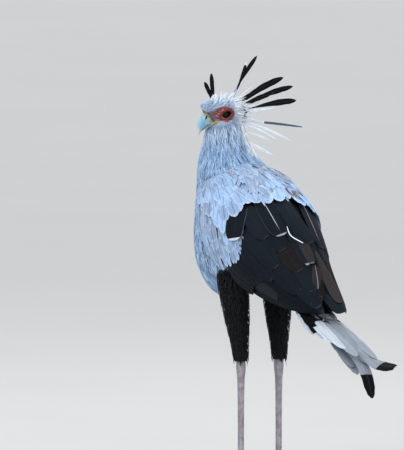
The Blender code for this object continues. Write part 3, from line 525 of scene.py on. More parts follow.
def new_piece(name, points, face_sets, paint, uv=None, marks=None, sharp=55.0):
    """One joined mesh from arrays, in the frame's place."""
    mesh = bpy.data.meshes.new(name)
    points = np.asarray(points, float).reshape(-1, 3)
    mesh.vertices.add(len(points))
    mesh.vertices.foreach_set("co", (points + SHIFT).ravel())
    corners = np.concatenate([faces.ravel() for faces in face_sets]).astype(np.int32)
    sizes = np.concatenate([np.full(len(faces), faces.shape[1]) for faces in face_sets])
    starts = np.concatenate([[0], np.cumsum(sizes)[:-1]]).astype(np.int32)
    mesh.loops.add(len(corners))
    mesh.loops.foreach_set("vertex_index", corners)
    mesh.polygons.add(len(sizes))
    mesh.polygons.foreach_set("loop_start", starts)
    mesh.update(calc_edges=True)
    smooth(mesh, sharp)
    if uv is not None:
        layer = mesh.uv_layers.new(name="OFBake")
        layer.data.foreach_set("uv", uv.reshape(-1, 2)[corners].astype(np.float32).ravel())
    for key, values in (marks or {}).items():
        add_mark(mesh, key, values)
    mesh.materials.append(paint)
    piece = bpy.data.objects.new(name, mesh)
    bpy.context.scene.collection.objects.link(piece)
    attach(piece, "root")
    return piece


class Coat:
    """Feathers gathered into one joined mesh, the large ones in a square of unwrap cells."""

    VANE = 0.0008
    ACROSS = 9

    def __init__(self, name, paint, columns=1):
        self.name = name
        self.paint = paint
        self.columns = columns
        self.made = 0
        self.parts = []
        self.total = 0

    def gather(self, points, tint, across, along, seed, uv):
        """Blades as arrays of blade, ring and point."""
        shape = points.shape[:3]
        tints = np.broadcast_to(tint, (*shape, 4)).reshape(-1, 4)
        vanes = np.stack([np.broadcast_to(a, shape) for a in (across, along, seed)], -1)
        faces = [f + self.total for f in ring_faces(*shape)]
        self.parts.append((points.reshape(-1, 3), tints, vanes.reshape(-1, 3), uv.reshape(-1, 2), faces))
        self.total += math.prod(shape)

    def small(self, centres, normals, halves, shape, tints, seeds, spots, camber=0.16, thick=0.0004):
        """Small three-sided feathers, each a patch of the coat's unwrap."""
        ahead = unit(np.gradient(centres, axis=1))
        sides = unit(np.cross(ahead, normals))
        lift = np.cross(sides, ahead)
        wide = (halves[:, None] * shape[:, 1])[..., None]
        ridge = centres + lift * (wide * camber + thick)
        points = np.stack([centres - sides * wide, ridge, centres + sides * wide], 2)
        across = np.broadcast_to([-1.0, 0.0, 1.0], points.shape[:3])
        along = np.broadcast_to(shape[None, :, :1], points.shape[:3])
        uv = spots[:, None, None, :] + np.stack([across, along * 2 - 1], -1) * 0.0014
        self.gather(points, tints[:, None, None, :], across, along, seeds[:, None, None], uv)

    def large(self, centres, normals, halves, parts, tint, rng, shaft=False, skew=0.0, dish=0.10, ragged=0.0):
        """One broad feather with its own cell of the unwrap."""
        seed = rng.random() * 0.9 + 1.1 * shaft
        across = np.linspace(-1.0, 1.0, self.ACROSS)
        ahead = unit(np.gradient(centres, axis=0))
        sides = unit(np.cross(ahead, normals))
        lift = np.cross(sides, ahead)
        left, right = (halves * (1 + s) * (1 - ragged * rng.random(len(parts)) ** 3) for s in (-skew, skew))
        wide = np.where(across[None] < 0, left[:, None], right[:, None]) * across[None]
        drop = -dish * halves[:, None] * across[None] ** 2
        body = self.VANE * (1.0 - 0.72 * np.abs(across[None]) ** 1.5)
        body = body + 0.0006 * (np.abs(across[None]) < 0.01) * (1.1 - parts[:, None])
        flat = centres[:, None] + sides[:, None] * wide[..., None]
        tops, lows = (flat + lift[:, None] * (drop + body * half)[..., None] for half in (0.5, -0.5))
        points = np.concatenate([tops, lows[:, ::-1]], 1)[None]
        across = np.broadcast_to([*across, *across[::-1]], points.shape[:3])
        along = np.broadcast_to(parts[None, :, None], points.shape[:3])
        cell = np.array([self.made % self.columns, self.made // self.columns]) / self.columns
        uv = cell + np.stack([across * 0.46 + 0.5, along * 0.92 + 0.04], -1) / self.columns
        self.made += 1
        self.gather(points, tint, across, along, seed, uv)

    def finish(self, *replaced, slot=None):
        kinds = sorted({(k, p[4][k].shape[1]) for p in self.parts for k in range(3)})
        faces = [np.concatenate([p[4][k] for p in self.parts if p[4][k].shape[1] == w]) for k, w in kinds]
        points, tints, vanes, uv = (np.concatenate([p[k] for p in self.parts]) for k in range(4))
        piece = new_piece(self.name, points, faces, self.paint, uv, {"tint": tints, "vane": vanes})
        if replaced:
            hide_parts(*replaced)
        return piece


def climb(parts, low, high, bend=0.30):
    """Rise from low to high over the first part of a feather."""
    return low + (high - low) * np.clip(parts / bend, 0.0, 1.0)


def scatter(rng, count, span_u, span_v, form, spacing, keep=None):
    """Points spread evenly over a surface, from many tries."""
    u = rng.uniform(*span_u, count)
    v = rng.uniform(*span_v, count)
    points = form.place(u, v)
    if keep is not None:
        kept = keep(points, u, v)
        u, v, points = u[kept], v[kept], points[kept]
    chosen = []
    cells = {}
    steps = [(x, y, z) for x in (-1, 0, 1) for y in (-1, 0, 1) for z in (-1, 0, 1)]
    for n, key in enumerate(map(tuple, np.floor(points / spacing).astype(int))):
        near = [m for x, y, z in steps for m in cells.get((key[0] + x, key[1] + y, key[2] + z), ())]
        if all(np.sum((points[n] - points[m]) ** 2) > spacing ** 2 for m in near):
            cells.setdefault(key, []).append(n)
            chosen.append(n)
    return u[chosen], v[chosen], points[chosen]


class Wire:
    """A value or colour that flows through a material's nodes."""

    def __init__(self, paint, socket):
        self.paint = paint
        self.socket = socket

    def __add__(self, other):
        return self.paint.math("ADD", self, other)

    def __sub__(self, other):
        return self.paint.math("SUBTRACT", self, other)

    def __rsub__(self, other):
        return self.paint.math("SUBTRACT", other, self)

    def __mul__(self, other):
        return self.paint.math("MULTIPLY", self, other)

    def __truediv__(self, other):
        return self.paint.math("DIVIDE", self, other)

    def __rtruediv__(self, other):
        return self.paint.math("DIVIDE", other, self)

    def __abs__(self):
        return self.paint.math("ABSOLUTE", self)

    __radd__ = __add__
    __rmul__ = __mul__

    def most(self, other):
        return self.paint.math("MAXIMUM", self, other)

    def least(self, other):
        return self.paint.math("MINIMUM", self, other)

    def wave(self):
        """Sine of so many whole turns."""
        return self.paint.math("SINE", self * WAVE_TURN)

    def rise(self, low, high):
        """Smooth step from 0 at low to 1 at high."""
        settings = {"interpolation_type": "SMOOTHSTEP"}
        return self.paint.node("ShaderNodeMapRange", settings, {0: self, 1: low, 2: high, 3: 0.0, 4: 1.0})

    def parts(self):
        return [self.paint.node("ShaderNodeSeparateXYZ", {}, {0: self}, k) for k in range(3)]


class Paint:
    """One procedural material and the few ways its nodes are made."""

    def __init__(self, name, roughness, fixed):
        self.material = bpy.data.materials.new(name)
        self.material.use_nodes = True
        self.tree = self.material.node_tree
        self.shader = self.tree.nodes["Principled BSDF"]
        for key, value in {"Roughness": roughness, **fixed}.items():
            self.shader.inputs[key].default_value = value

    def node(self, kind, settings, values, out=0):
        """A node of a kind: settings, then values and links; a colour may leave out its alpha."""
        made = self.tree.nodes.new(kind)
        for key, value in settings.items():
            setattr(made, key, value)
        for key, value in values.items():
            if isinstance(value, Wire):
                self.tree.links.new(value.socket, made.inputs[key])
            elif isinstance(value, tuple):
                made.inputs[key].default_value = (*value, 1.0)
            else:
                made.inputs[key].default_value = value
        return Wire(self, made.outputs[out])

    def math(self, operation, *values):
        return self.node("ShaderNodeMath", {"operation": operation}, dict(enumerate(values)))

    def mark(self, key, out=1):
        """A point attribute as a colour (out 0), a vector (1) or its alpha (3)."""
        return self.node("ShaderNodeAttribute", {"attribute_name": key}, {}, out)

    def place(self):
        return self.node("ShaderNodeTexCoord", {}, {}, 3)

    def noise(self, vector, scale, detail=4.0, roughness=0.55):
        values = {"Vector": vector, "Scale": scale, "Detail": detail, "Roughness": roughness}
        return self.node("ShaderNodeTexNoise", {}, values)

    def cells(self, vector, scale):
        values = {"Vector": vector, "Scale": scale}
        return self.node("ShaderNodeTexVoronoi", {"feature": "DISTANCE_TO_EDGE"}, values)

    def mix(self, factor, a, b):
        return self.node("ShaderNodeMix", {"data_type": "RGBA"}, {0: factor, 6: a, 7: b}, 2)

    def shade(self, colour, value):
        """A colour made lighter or darker by a value."""
        return self.node("ShaderNodeVectorMath", {"operation": "SCALE"}, {0: colour, "Scale": value})

    def vector(self, *values):
        return self.node("ShaderNodeCombineXYZ", {}, dict(enumerate(values)))

    def bump(self, height, strength, distance):
        return self.node("ShaderNodeBump", {}, {"Height": height, "Strength": strength, "Distance": distance})

    def feed(self, colour, roughness, normal=None):
        for key, wire in (("Base Color", colour), ("Roughness", roughness), ("Normal", normal)):
            if wire is not None:
                self.tree.links.new(wire.socket, self.shader.inputs[key])
        return self.material


def feather_paint(name, fringe, roughness, barbs, shaft, contrast=1.0):
    """Barbed vane, with painted shade at its root and along its sides near the root, where overlapping
    feathers shade it; its rim as pale as the tint's alpha asks for.
    """
    paint = Paint(name, roughness, {"Specular IOR Level": 0.25})
    x, along, seed = paint.mark("vane").parts()
    side = abs(x)
    tint, strength = paint.mark("tint", 0), paint.mark("tint", 3)
    wobble = paint.noise(paint.vector(x * 3.0, along * 5.0, seed * 37.0), 2.0, 3.0)
    rim = (side.rise(0.66, 0.97) * along.rise(0.25, 0.85)).most(along.rise(0.87, 0.985)) * strength
    rim = (rim * (0.5 + wobble * 0.8)).least(1.0)
    # Painted crevice shade: the vane's sides darker near the root, partly standing for the darker undersides
    # seen in the gaps.
    gap = side.rise(0.50, 1.0) * (1.0 - along.rise(0.35, 0.85))
    line = 1.0 - side.rise(0.0, shaft)
    barb = (along * barbs - side * barbs * 0.42 + wobble * 2.0).wave()
    streak = paint.noise(paint.vector(x * 5.0, along * 1.6 - side * 1.2, seed * 53.0), 1.6, 3.0)
    # Painted shade: the vane darker towards its root, where the feathers over it shade it.
    root = 1.0 - along.rise(0.0, 0.55)
    value = (wobble * 0.40 + streak * 1.05 + barb * 0.05 - gap * 0.55 - root * 0.40 - 0.62) * contrast + 1.05
    base = paint.mix(rim, paint.shade(tint, value), fringe)
    base = paint.mix(line * 0.60, base, paint.shade(tint, 0.30))
    height = barb * 0.25 + wobble * 0.4 + streak * 0.8 + line * 0.8
    return paint.feed(base, roughness - 0.08 + wobble * 0.16, paint.bump(height, 0.55, 0.0003))


def flight_paint(name, fringe, gloss, shaft_colour):
    """Stiff vane: fine barbs, a raised shaft, pale where the seed is over one, a narrow pale rim."""
    paint = Paint(name, gloss, {"Specular IOR Level": 0.055})
    x, along, seed = paint.mark("vane").parts()
    side = abs(x)
    tint, strength = paint.mark("tint", 0), paint.mark("tint", 3)
    wobble = paint.noise(paint.vector(x * 2.0, along * 7.0, seed * 31.0), 2.2, 4.0)
    streak = paint.noise(paint.vector(along * 60.0 - side * 22.0, side * 1.5, seed * 17.0), 1.0, 2.0)
    barb = (along * 90.0 - side * 34.0).wave()
    rim = (side.rise(0.94, 0.995) * 0.12).most((along + strength * 0.016).rise(0.972, 0.994)) * strength
    rim = (rim * (0.35 + wobble * 0.9)).least(1.0)
    line = 1.0 - side.rise(0.014, 0.045)
    pale_line = line * seed.rise(1.0, 1.01) * (1.0 - along.rise(0.70, 0.95))
    value = 0.36 + streak * 1.05 + wobble * 0.24 + barb * 0.08
    base = paint.mix(rim, paint.shade(tint, value), fringe)
    base = paint.mix(line * 0.5, base, shaft_colour)
    base = paint.mix(pale_line, base, (0.50, 0.53, 0.58))
    height = barb * 0.3 + streak * 0.8 + line * 1.2
    return paint.feed(base, gloss - 0.06 + streak * 0.16, paint.bump(height, 0.5, 0.0003))


def skin_paint():
    """Under the feathers a dull ground, on the face bare red wrinkled skin with painted shade in its creases,
    and dark lids widened with painted shade of the brow.
    """
    paint = Paint("bird_skin", 0.55, {"Specular IOR Level": 0.35})
    radius, bare, lower = paint.mark("face").parts()
    where = paint.place()
    mottle = paint.noise(where, 260.0, 5.0, 0.6)
    broad = paint.noise(where, 70.0, 3.0)
    folds = paint.cells(where, 520.0)
    ground = paint.shade(paint.mark("tint", 0), 0.50 + broad * 0.5)
    red = paint.mix(mottle.rise(0.35, 0.68), (0.13, 0.018, 0.022), (0.44, 0.085, 0.090))
    # Painted shade in the wrinkles' creases.
    red = paint.mix((1.0 - folds.rise(0.0, 0.14)) * 0.60, red, (0.075, 0.012, 0.014))
    red = paint.mix(radius.rise(1.9, 2.5) * mottle.rise(0.50, 0.62) * 0.75, red, (0.58, 0.36, 0.37))
    red = paint.mix(radius.rise(2.3, 3.3) * 0.6, red, (0.13, 0.045, 0.042))
    # Dark lid ring, partly the dark lid rim and partly painted shade of the brow over the eye.
    lid = 1.0 - radius.rise(1.18, 1.42)
    amber = radius.rise(1.10, 1.18) * (1.0 - radius.rise(1.30, 1.42)) * lower
    red = paint.mix(lid, red, (0.010, 0.007, 0.007))
    red = paint.mix(amber * 0.9, red, (0.50, 0.24, 0.05))
    height = mottle * 0.5 + folds.rise(0.0, 0.2) * 0.8
    rough = 0.75 - bare * 0.26 + mottle * 0.1
    return paint.feed(paint.mix(bare, ground, red), rough, paint.bump(height, 0.6, 0.0005))


def bill_paint():
    """Blue-grey horn with a paler hook, a yellow cere and gape, and painted shade in the nostril and along
    the mouth line.
    """
    paint = Paint("bird_bill_horn", 0.34, {"Specular IOR Level": 0.5})
    cere, gape, tip = paint.mark("zone").parts()
    where = paint.place()
    cloud = paint.noise(where, 130.0, 4.0)
    grain = paint.noise(where, 900.0, 2.0)
    horn = paint.mix(cloud.rise(0.35, 0.7), (0.44, 0.76, 0.92), (0.56, 0.84, 0.96))
    horn = paint.mix(tip, horn, (0.86, 0.90, 0.93))
    wax = paint.mix(cloud.rise(0.35, 0.65), (0.30, 0.32, 0.32), (0.52, 0.48, 0.36))
    base = paint.mix(gape, paint.mix(cere, horn, wax), (0.74, 0.50, 0.09))
    # Painted shade: near-black where the tint's alpha marks the nostril slits and the mouth line.
    base = paint.mix(paint.mark("tint", 3), base, (0.012, 0.010, 0.010))
    return paint.feed(base, 0.30 + cere * 0.18 + grain * 0.08, paint.bump(grain + cloud * 0.5, 0.25, 0.0003))


def eye_paint():
    """Deep brown iris round a black pupil, under a clear wet coat."""
    paint = Paint("bird_eye", 0.14, {"Specular IOR Level": 0.14, "Coat Roughness": 0.02, "Coat Weight": 0.06})
    radius, turn, _ = paint.mark("iris").parts()
    fibre = paint.noise(paint.vector(turn * 9.0, radius * 2.0, 0.0), 3.0, 3.0)
    iris = paint.mix(fibre, (0.008, 0.004, 0.003), (0.030, 0.015, 0.009))
    base = paint.mix(1.0 - radius.rise(0.36, 0.42), iris, (0.003, 0.003, 0.003))
    base = paint.mix(radius.rise(0.66, 0.76), base, (0.012, 0.008, 0.007))
    return paint.feed(base, 0.10 + fibre * 0.05)


def leg_paint():
    """Grey-pink scaled shanks and toes with dark seams between the plates."""
    paint = Paint("bird_leg_scales", 0.55, {"Specular IOR Level": 0.4})
    plate, front, _ = paint.mark("scute").parts()
    where = paint.place()
    cloud = paint.noise(where, 70.0, 4.0)
    scales = paint.cells(where, 330.0).rise(0.0, 0.16)
    base = paint.mix(cloud.rise(0.35, 0.68), (0.24, 0.23, 0.27), (0.42, 0.38, 0.41))
    seam = ((1.0 - plate.rise(0.0, 0.35)) * front).most((1.0 - scales) * (1.0 - front))
    base = paint.mix(seam * 0.65, base, (0.050, 0.040, 0.048))
    height = scales * (1.0 - front) + plate * front * 0.6 + cloud * 0.2
    return paint.feed(base, 0.50 + cloud * 0.2, paint.bump(height, 0.6, 0.0005))


def claw_paint():
    """Dark horn, brown where it is worn."""
    paint = Paint("bird_claw_horn", 0.38, {"Specular IOR Level": 0.5})
    grain = paint.noise(paint.place(), 300.0, 4.0)
    base = paint.mix(grain.rise(0.3, 0.7), (0.018, 0.015, 0.014), (0.075, 0.060, 0.052))
    return paint.feed(base, 0.32 + grain * 0.15, paint.bump(grain, 0.3, 0.0002))


def floor_paint():
    """Pale studio floor, with painted shade making it a little darker under the bird."""
    paint = Paint("studio_floor", 0.85, {"Specular IOR Level": 0.2})
    where = paint.place()
    x, y, _ = where.parts()
    cloud = paint.noise(where, 1.5, 3.0)
    base = paint.mix(cloud, (0.70, 0.70, 0.69), (0.74, 0.74, 0.73))
    # Painted shadow: the floor darker towards the bird.
    shadow = 1.0 / ((x * x + y * y) * 0.05 + 1.0)
    return paint.feed(paint.shade(base, 1.0 - shadow * 0.22), 0.82 + cloud * 0.06)


def loft(name, rings, paint, marks=None, sharp=55.0):
    """A closed piece over rings, its ends closed round hubs, its faces turned outward."""
    rings = np.asarray(rings, float)
    count, around = rings.shape[:2]
    points = np.vstack([rings.reshape(-1, 3), rings[0].mean(0), rings[-1].mean(0)])
    sides = ring_faces(1, count, around)[0]
    j = np.arange(around)
    k = (j + 1) % around
    last = (count - 1) * around
    low = np.stack([k, j, np.full(around, count * around)], -1)
    high = np.stack([last + j, last + k, np.full(around, count * around + 1)], -1)
    a, b, c, d = (points[sides[:, n]] for n in range(4))
    volume = np.sum(np.cross(b - a, c - a) * a) + np.sum(np.cross(c - a, d - a) * a)
    faces = [sides, np.vstack([low, high])]
    if volume < 0:
        faces = [f[:, ::-1] for f in faces]
    return new_piece(name, points, faces, paint, marks=marks, sharp=sharp)


def combine(piece, others, operation):
    """One Boolean of a piece with a set of closed pieces, which are then removed."""
    group = bpy.data.collections.new("operands")
    bpy.context.scene.collection.children.link(group)
    for other in others:
        bpy.context.scene.collection.objects.unlink(other)
        group.objects.link(other)
    step = piece.modifiers.new("shape", "BOOLEAN")
    step.operation = operation
    step.solver = "MANIFOLD"
    step.operand_type = "COLLECTION"
    step.collection = group
    mesh = bpy.data.meshes.new_from_object(piece.evaluated_get(bpy.context.evaluated_depsgraph_get()))
    piece.modifiers.clear()
    piece.data = mesh
    for other in others:
        bpy.data.objects.remove(other, do_unlink=True)
    bpy.data.collections.remove(group)
    if len(mesh.polygons) == 0:
        raise RuntimeError(f"the {operation} of {piece.name} left nothing")


def mesh_points(piece):
    points = np.empty(len(piece.data.vertices) * 3)
    piece.data.vertices.foreach_get("co", points)
    return points.reshape(-1, 3) - SHIFT


def grid(count_u, low_v, high_v, count_v):
    """Full turns of u in rings over v."""
    return np.meshgrid(circle(count_u), np.linspace(low_v, high_v, count_v))


def seam_limit(points, ahead):
    """Hold points on one side of the slanted plane where the bill meets the head."""
    f, l, u = in_head(points)
    limit = BILL_SEAM_F + u * BILL_SEAM_SLOPE
    f = np.maximum(f, limit + 0.0003) if ahead else np.minimum(f, limit)
    return head_point(f, l, u)


def lid_opening(turn, grow=1.0):
    """Forward and up places round the eye's opening, its back corner the higher."""
    long, tall = LID_LONG * grow * np.cos(turn), LID_TALL * grow * np.sin(turn)
    tall = tall * (1.0 - 0.10 * np.abs(np.sin(turn)) * (np.sin(turn) > 0))
    c, s = math.cos(EYE_TILT), math.sin(EYE_TILT)
    return long * c + tall * s, tall * c - long * s


def face_disc(side, paint):
    """Bare skin round one eye with its lids, brow and folds, as a closed dish."""
    turn = np.linspace(-math.pi, math.pi, 144, endpoint=False)
    reach = bare_limit(np.degrees(turn)) * 1.05
    reach_f, reach_u = reach * np.cos(turn), reach * np.sin(turn)
    open_f, open_u = lid_opening(turn)
    rings = [head_point(open_f * share, side * out, open_u * share)
             for share, out in ((0.5, 0.006), (1.0, 0.012))]
    wave = 0.25 * np.sin(5 * turn + 0.7) + 0.2 * np.sin(9 * turn + 2.0) + 0.12 * np.sin(17 * turn)
    for rho in np.concatenate([[0.0], np.linspace(0.03, 1.0, 40)]):
        f = open_f * (1 - rho) + reach_f * rho
        u = open_u * (1 - rho) + reach_u * rho
        away = np.hypot(f - open_f, u - open_u)
        lid = 0.0011 * bell(away, 0.0011, 0.0010)
        groove = -0.0006 * bell(away, 0.0034, 0.0009)
        brow = 0.0022 * ease(np.sin(turn), 0.25, 0.85) * bell(away, 0.0085, 0.0035)
        fold = 0.00042 * np.sin((away / 0.00125 + wave * 3.0) * math.pi) * ease(away, 0.002, 0.004)
        pleat = 0.00025 * np.sin(turn * 23 + away * 900) * ease(away, 0.003, 0.006)
        relief = (lid + groove + brow + (fold + pleat) * fall(rho, 0.86, 1.0)) - 0.0032 * ease(rho, 0.88, 1.0)
        rings.append(head_point(f, side * (np.maximum(skull_half(f, u), 0.0125) + relief), u))
    inner = np.maximum(skull_half(reach_f, reach_u) - 0.007, 0.005)
    rings.append(head_point(reach_f * 0.98, side * inner, reach_u * 0.98))
    rings.append(head_point(reach_f * 0.4, side * 0.004, reach_u * 0.4))
    return loft("face_disc", rings, paint)


def make_skin(paint, coat_depth):
    """Trunk, neck, head, thighs and rump as one closed skin with open lids."""
    turn, z = grid(96, 0.499, 0.9615, 130)
    skin = loft("skin", BODY.sunk(turn, z, coat_depth * (1.0 - 0.45 * ease(z, 0.84, 0.90))), paint)
    others = [loft("leg", THIGHS[side].sunk(*grid(48, 0.334, 0.585, 60), 0.0065), paint) for side, _ in SIDES]
    others.append(loft("rump", RUMP_FORM.sunk(*grid(48, 0.062, 0.33, 40), 0.003), paint))
    shell = seam_limit(HEAD.sunk(*grid(120, -0.0525, 0.0560, 110), 0.0030), False)
    others.append(loft("skull", shell, paint))
    others += [face_disc(side, paint) for side, _ in SIDES]
    combine(skin, others, "UNION")
    sockets, openings = [], []
    for side, _ in SIDES:
        sockets.append(eye_ball("socket", side, EYE_RADIUS + 0.0003, paint, 0.0))
        f, u = lid_opening(circle(48), 0.99)
        rings = [head_point(f, side * out, u) for out in (EYE_OUT + 0.003, 0.045)]
        openings.append(loft("opening", rings, paint))
    combine(skin, openings, "DIFFERENCE")
    combine(skin, sockets, "DIFFERENCE")
    points = mesh_points(skin)
    f, _, u = in_head(points)
    c, s = math.cos(EYE_TILT), math.sin(EYE_TILT)
    near_eye = np.hypot((f * c - u * s) / LID_LONG, (u * c + f * s) / LID_TALL)
    add_mark(skin.data, "tint", np.pad(coat_colour(points), ((0, 0), (0, 1)), constant_values=1.0))
    add_mark(skin.data, "face", np.stack([near_eye, bareness(points), ease(-u, 0.001, 0.005)], -1))
    smooth(skin.data, 60.0)
    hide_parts("torso", "neck", "head", "thigh_left", "thigh_right")


def eye_ball(name, side, radius, paint, bulge=0.0008):
    """Ball of one eye, its clear front standing a little proud."""
    turn = circle(56)
    rings, marks = [], []
    for tilt in np.linspace(0.02, math.pi - 0.02, 40):
        r, out = radius * math.sin(tilt), math.cos(tilt)
        front = EYE_OUT + radius * out + bulge * ease(out, 0.72, 1.0)
        rings.append(head_point(r * np.cos(turn), side * front, r * np.sin(turn)))
        near = math.sin(tilt) if out > 0 else 2.0 - math.sin(tilt)
        marks += [(near, angle, 0.0) for angle in turn]
    marks += [(0.0, 0.0, 0.0), (2.0, 0.0, 0.0)]
    return loft(name, rings, paint, {"iris": marks}, sharp=0)


def make_eyes(paint):
    """Both eyeballs, each in its socket's place."""
    for side, word in SIDES:
        eye = eye_ball(f"eye_ball_{word}", side, EYE_RADIUS, paint)
        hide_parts(f"eye_{word}")


def mouth_block(above, paint):
    """Solid that fills one side of the mouth line, wider than the bill."""
    line = fine(MOUTH_LINE, 40)
    line = np.vstack([[[-0.02, line[0, 1]]], line])
    if above:
        rim = [[-0.02, 0.06], [0.11, 0.06], [0.11, line[-1, 1]]]
    else:
        rim = [[-0.02, -0.08], [line[-1, 0], -0.08]]
    gap = 0.00015 if above else -0.00015
    outline = np.vstack([line + [0.0, gap], rim[::-1]])
    points = np.vstack([head_point(outline[:, 0], l, outline[:, 1]) for l in (-0.04, 0.04)])
    count = len(outline)
    ring = np.arange(count)
    ahead = (ring + 1) % count
    quads = np.stack([ring, ahead, ahead + count, ring + count], -1)
    piece = new_piece("block", points, [quads, ring[None, ::-1], ring[None] + count], paint, sharp=0)
    middle = outline.mean(0)
    if np.sum(np.cross(outline - middle, outline[ahead] - middle)) < 0:
        piece.data.flip_normals()
    return piece


def bill_marks(piece):
    """Cere, gape, pale hook, and the painted shade of the nostril slits and mouth line, as point attributes.
    """
    f, _, u = in_head(mesh_points(piece))
    seam = f - CERE_SLOPE * u
    line = np.array(MOUTH_LINE)
    from_mouth = np.abs(u - np.interp(f, line[:, 0], line[:, 1]))
    cere = fall(seam, 0.0440, 0.0458)
    gape = fall(from_mouth, 0.0016, 0.0034) * fall(f, 0.050, 0.056)
    yellow_rim = fall(np.abs(seam - 0.0435), 0.0006, 0.0018) * 0.8
    tip = ease(-u + 0.2 * f, 0.024, 0.038) * ease(f, 0.060, 0.070)
    nf, nu = f - NOSTRIL_AT[0], u - NOSTRIL_AT[1]
    along = nf * math.cos(NOSTRIL_SLANT) - nu * math.sin(NOSTRIL_SLANT)
    across = nf * math.sin(NOSTRIL_SLANT) + nu * math.cos(NOSTRIL_SLANT)
    slit = fall(np.hypot(along / 0.0062, across / 0.0019), 0.85, 1.1)
    # Painted shade along the mouth line and in the nostril slits.
    dark = np.maximum(fall(from_mouth, 0.0005, 0.0012) * 0.8, slit)
    add_mark(piece.data, "zone", np.stack([cere, np.maximum(gape, yellow_rim), tip], -1))
    add_mark(piece.data, "tint", np.stack([cere, gape, tip, dark], -1))
    smooth(piece.data, 45.0)


def nostrils(paint):
    """Slanted slits to cut from both sides of the upper bill."""
    turn = circle(64)
    along = HEAD_F * math.cos(NOSTRIL_SLANT) - HEAD_U * math.sin(NOSTRIL_SLANT)
    across = HEAD_F * math.sin(NOSTRIL_SLANT) + HEAD_U * math.cos(NOSTRIL_SLANT)

    def ring(side, out):
        middle = head_point(NOSTRIL_AT[0], side * out, NOSTRIL_AT[1])
        return middle + np.outer(np.cos(turn), along * 0.0052) + np.outer(np.sin(turn), across * 0.0013)

    return [loft("slit", [ring(side, out) for out in (0.0085, 0.0160)], paint) for side, _ in SIDES]


def make_bill(paint):
    """Both halves of the bill, parted along the mouth line, and the lips of the gape with a near-black tube
    of painted shade between them.
    """
    turn = circle(64)
    c, s = np.cos(turn), np.sin(turn)
    keel = 1.0 - 0.10 * ease(s, 0.5, 1.0)
    rings = []
    for top_f, top_u, low_f, low_u, half in fine(BILL, 80):
        f = (top_f + low_f) / 2 + (top_f - low_f) / 2 * s
        u = (top_u + low_u) / 2 + (top_u - low_u) / 2 * s
        cere = fall(f - CERE_SLOPE * u, 0.0436, 0.0450)
        rings.append(head_point(f, half * c * keel * (1 + 0.035 * cere), u + 0.0004 * cere * (s > 0.3)))
    rings = seam_limit(np.array(rings), True)
    for name, above, node in (("bill_top", True, "bill_upper"), ("bill_under", False, "bill_lower")):
        bill = loft(name, rings, paint)
        combine(bill, [mouth_block(not above, paint)], "DIFFERENCE")
        if above:
            combine(bill, nostrils(paint), "DIFFERENCE")
        bill_marks(bill)
        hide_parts(node)
    line = fine(GAPE_LINE, 40)
    half = skull_half(line[:, 0], line[:, 1])
    t = np.linspace(0, 1, 40)
    radius = 0.0011 * (1 - ease(t, 0.7, 1.0) * 0.8) * ease(t, -0.2, 0.12)
    ring = c[::4, None] * HEAD_L + s[::4, None] * HEAD_U * 0.8
    for side, word in SIDES:
        # The seam is a near-black tube, painted shade of the crease between the lips.
        for lip, drop, dark in (("upper", 0.0011, 0.0), ("lower", -0.0013, 0.0), ("seam", -0.0001, 1.0)):
            path = head_point(line[:, 0], side * (half + 0.0010), line[:, 1] + drop)
            piece = loft(f"gape_{lip}_{word}", path[:, None] + radius[:, None, None] * ring, paint)
            count = len(piece.data.vertices)
            add_mark(piece.data, "zone", np.tile([0.0, 0.95, 0.0], (count, 1)))
            add_mark(piece.data, "tint", np.tile([0.0, 0.0, 0.0, dark], (count, 1)))


def scute_wave(x, count):
    """Ladder of plates, each proud at its far rim, over x from 0 to 1."""
    part = (x * count) % 1.0
    return ease(part, 0.0, 0.16) * (1.0 - 0.45 * part)


def shank_rings(side, heights, radii, turn):
    """Level rings round a leg's upright line."""
    x = side * ANKLE_X + radii * np.cos(turn)
    return np.stack([x, radii * TARSUS_DEPTH * np.sin(turn), np.broadcast_to(heights[:, None], x.shape)], -1)


def make_legs(scales, horn):
    """Shanks with their plates, and the feet."""
    turn = circle(44)
    z = np.linspace(SHANK_LOW, SHANK_HIGH, SCUTE_COUNT * 7)
    profile = np.array(TARSUS_PROFILE)
    radius = TARSUS_RADIUS * np.interp(z, profile[:, 0], profile[:, 1])[:, None]
    wave = scute_wave((z - SHANK_LOW) / SHANK_LENGTH, SCUTE_COUNT)[:, None]
    front = np.maximum(ease(-np.sin(turn), 0.1, 0.6), 0.7 * ease(np.sin(turn), 0.3, 0.8))
    radii = radius + 0.00075 * wave * front
    marks = np.stack(np.broadcast_arrays(wave, front, 0 * radii), -1).reshape(-1, 3)
    marks = np.vstack([marks, np.zeros((2, 3))])
    for side, word in SIDES:
        shank = loft(f"shank_{word}", shank_rings(side, z, radii, turn), scales, {"scute": marks}, sharp=70.0)
        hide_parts(f"tarsus_{word}")
        make_foot(side, word, scales, horn)


def tube_rings(points, radii, ahead, turn):
    """Upright rings along a level heading, flat where they reach the floor."""
    ring = np.cos(turn)[:, None] * np.cross(ahead, UP) + np.sin(turn)[:, None] * UP
    rings = points[:, None] + radii[:, None, None] * ring
    rings[..., 2] = np.maximum(rings[..., 2], 0.0)
    return rings


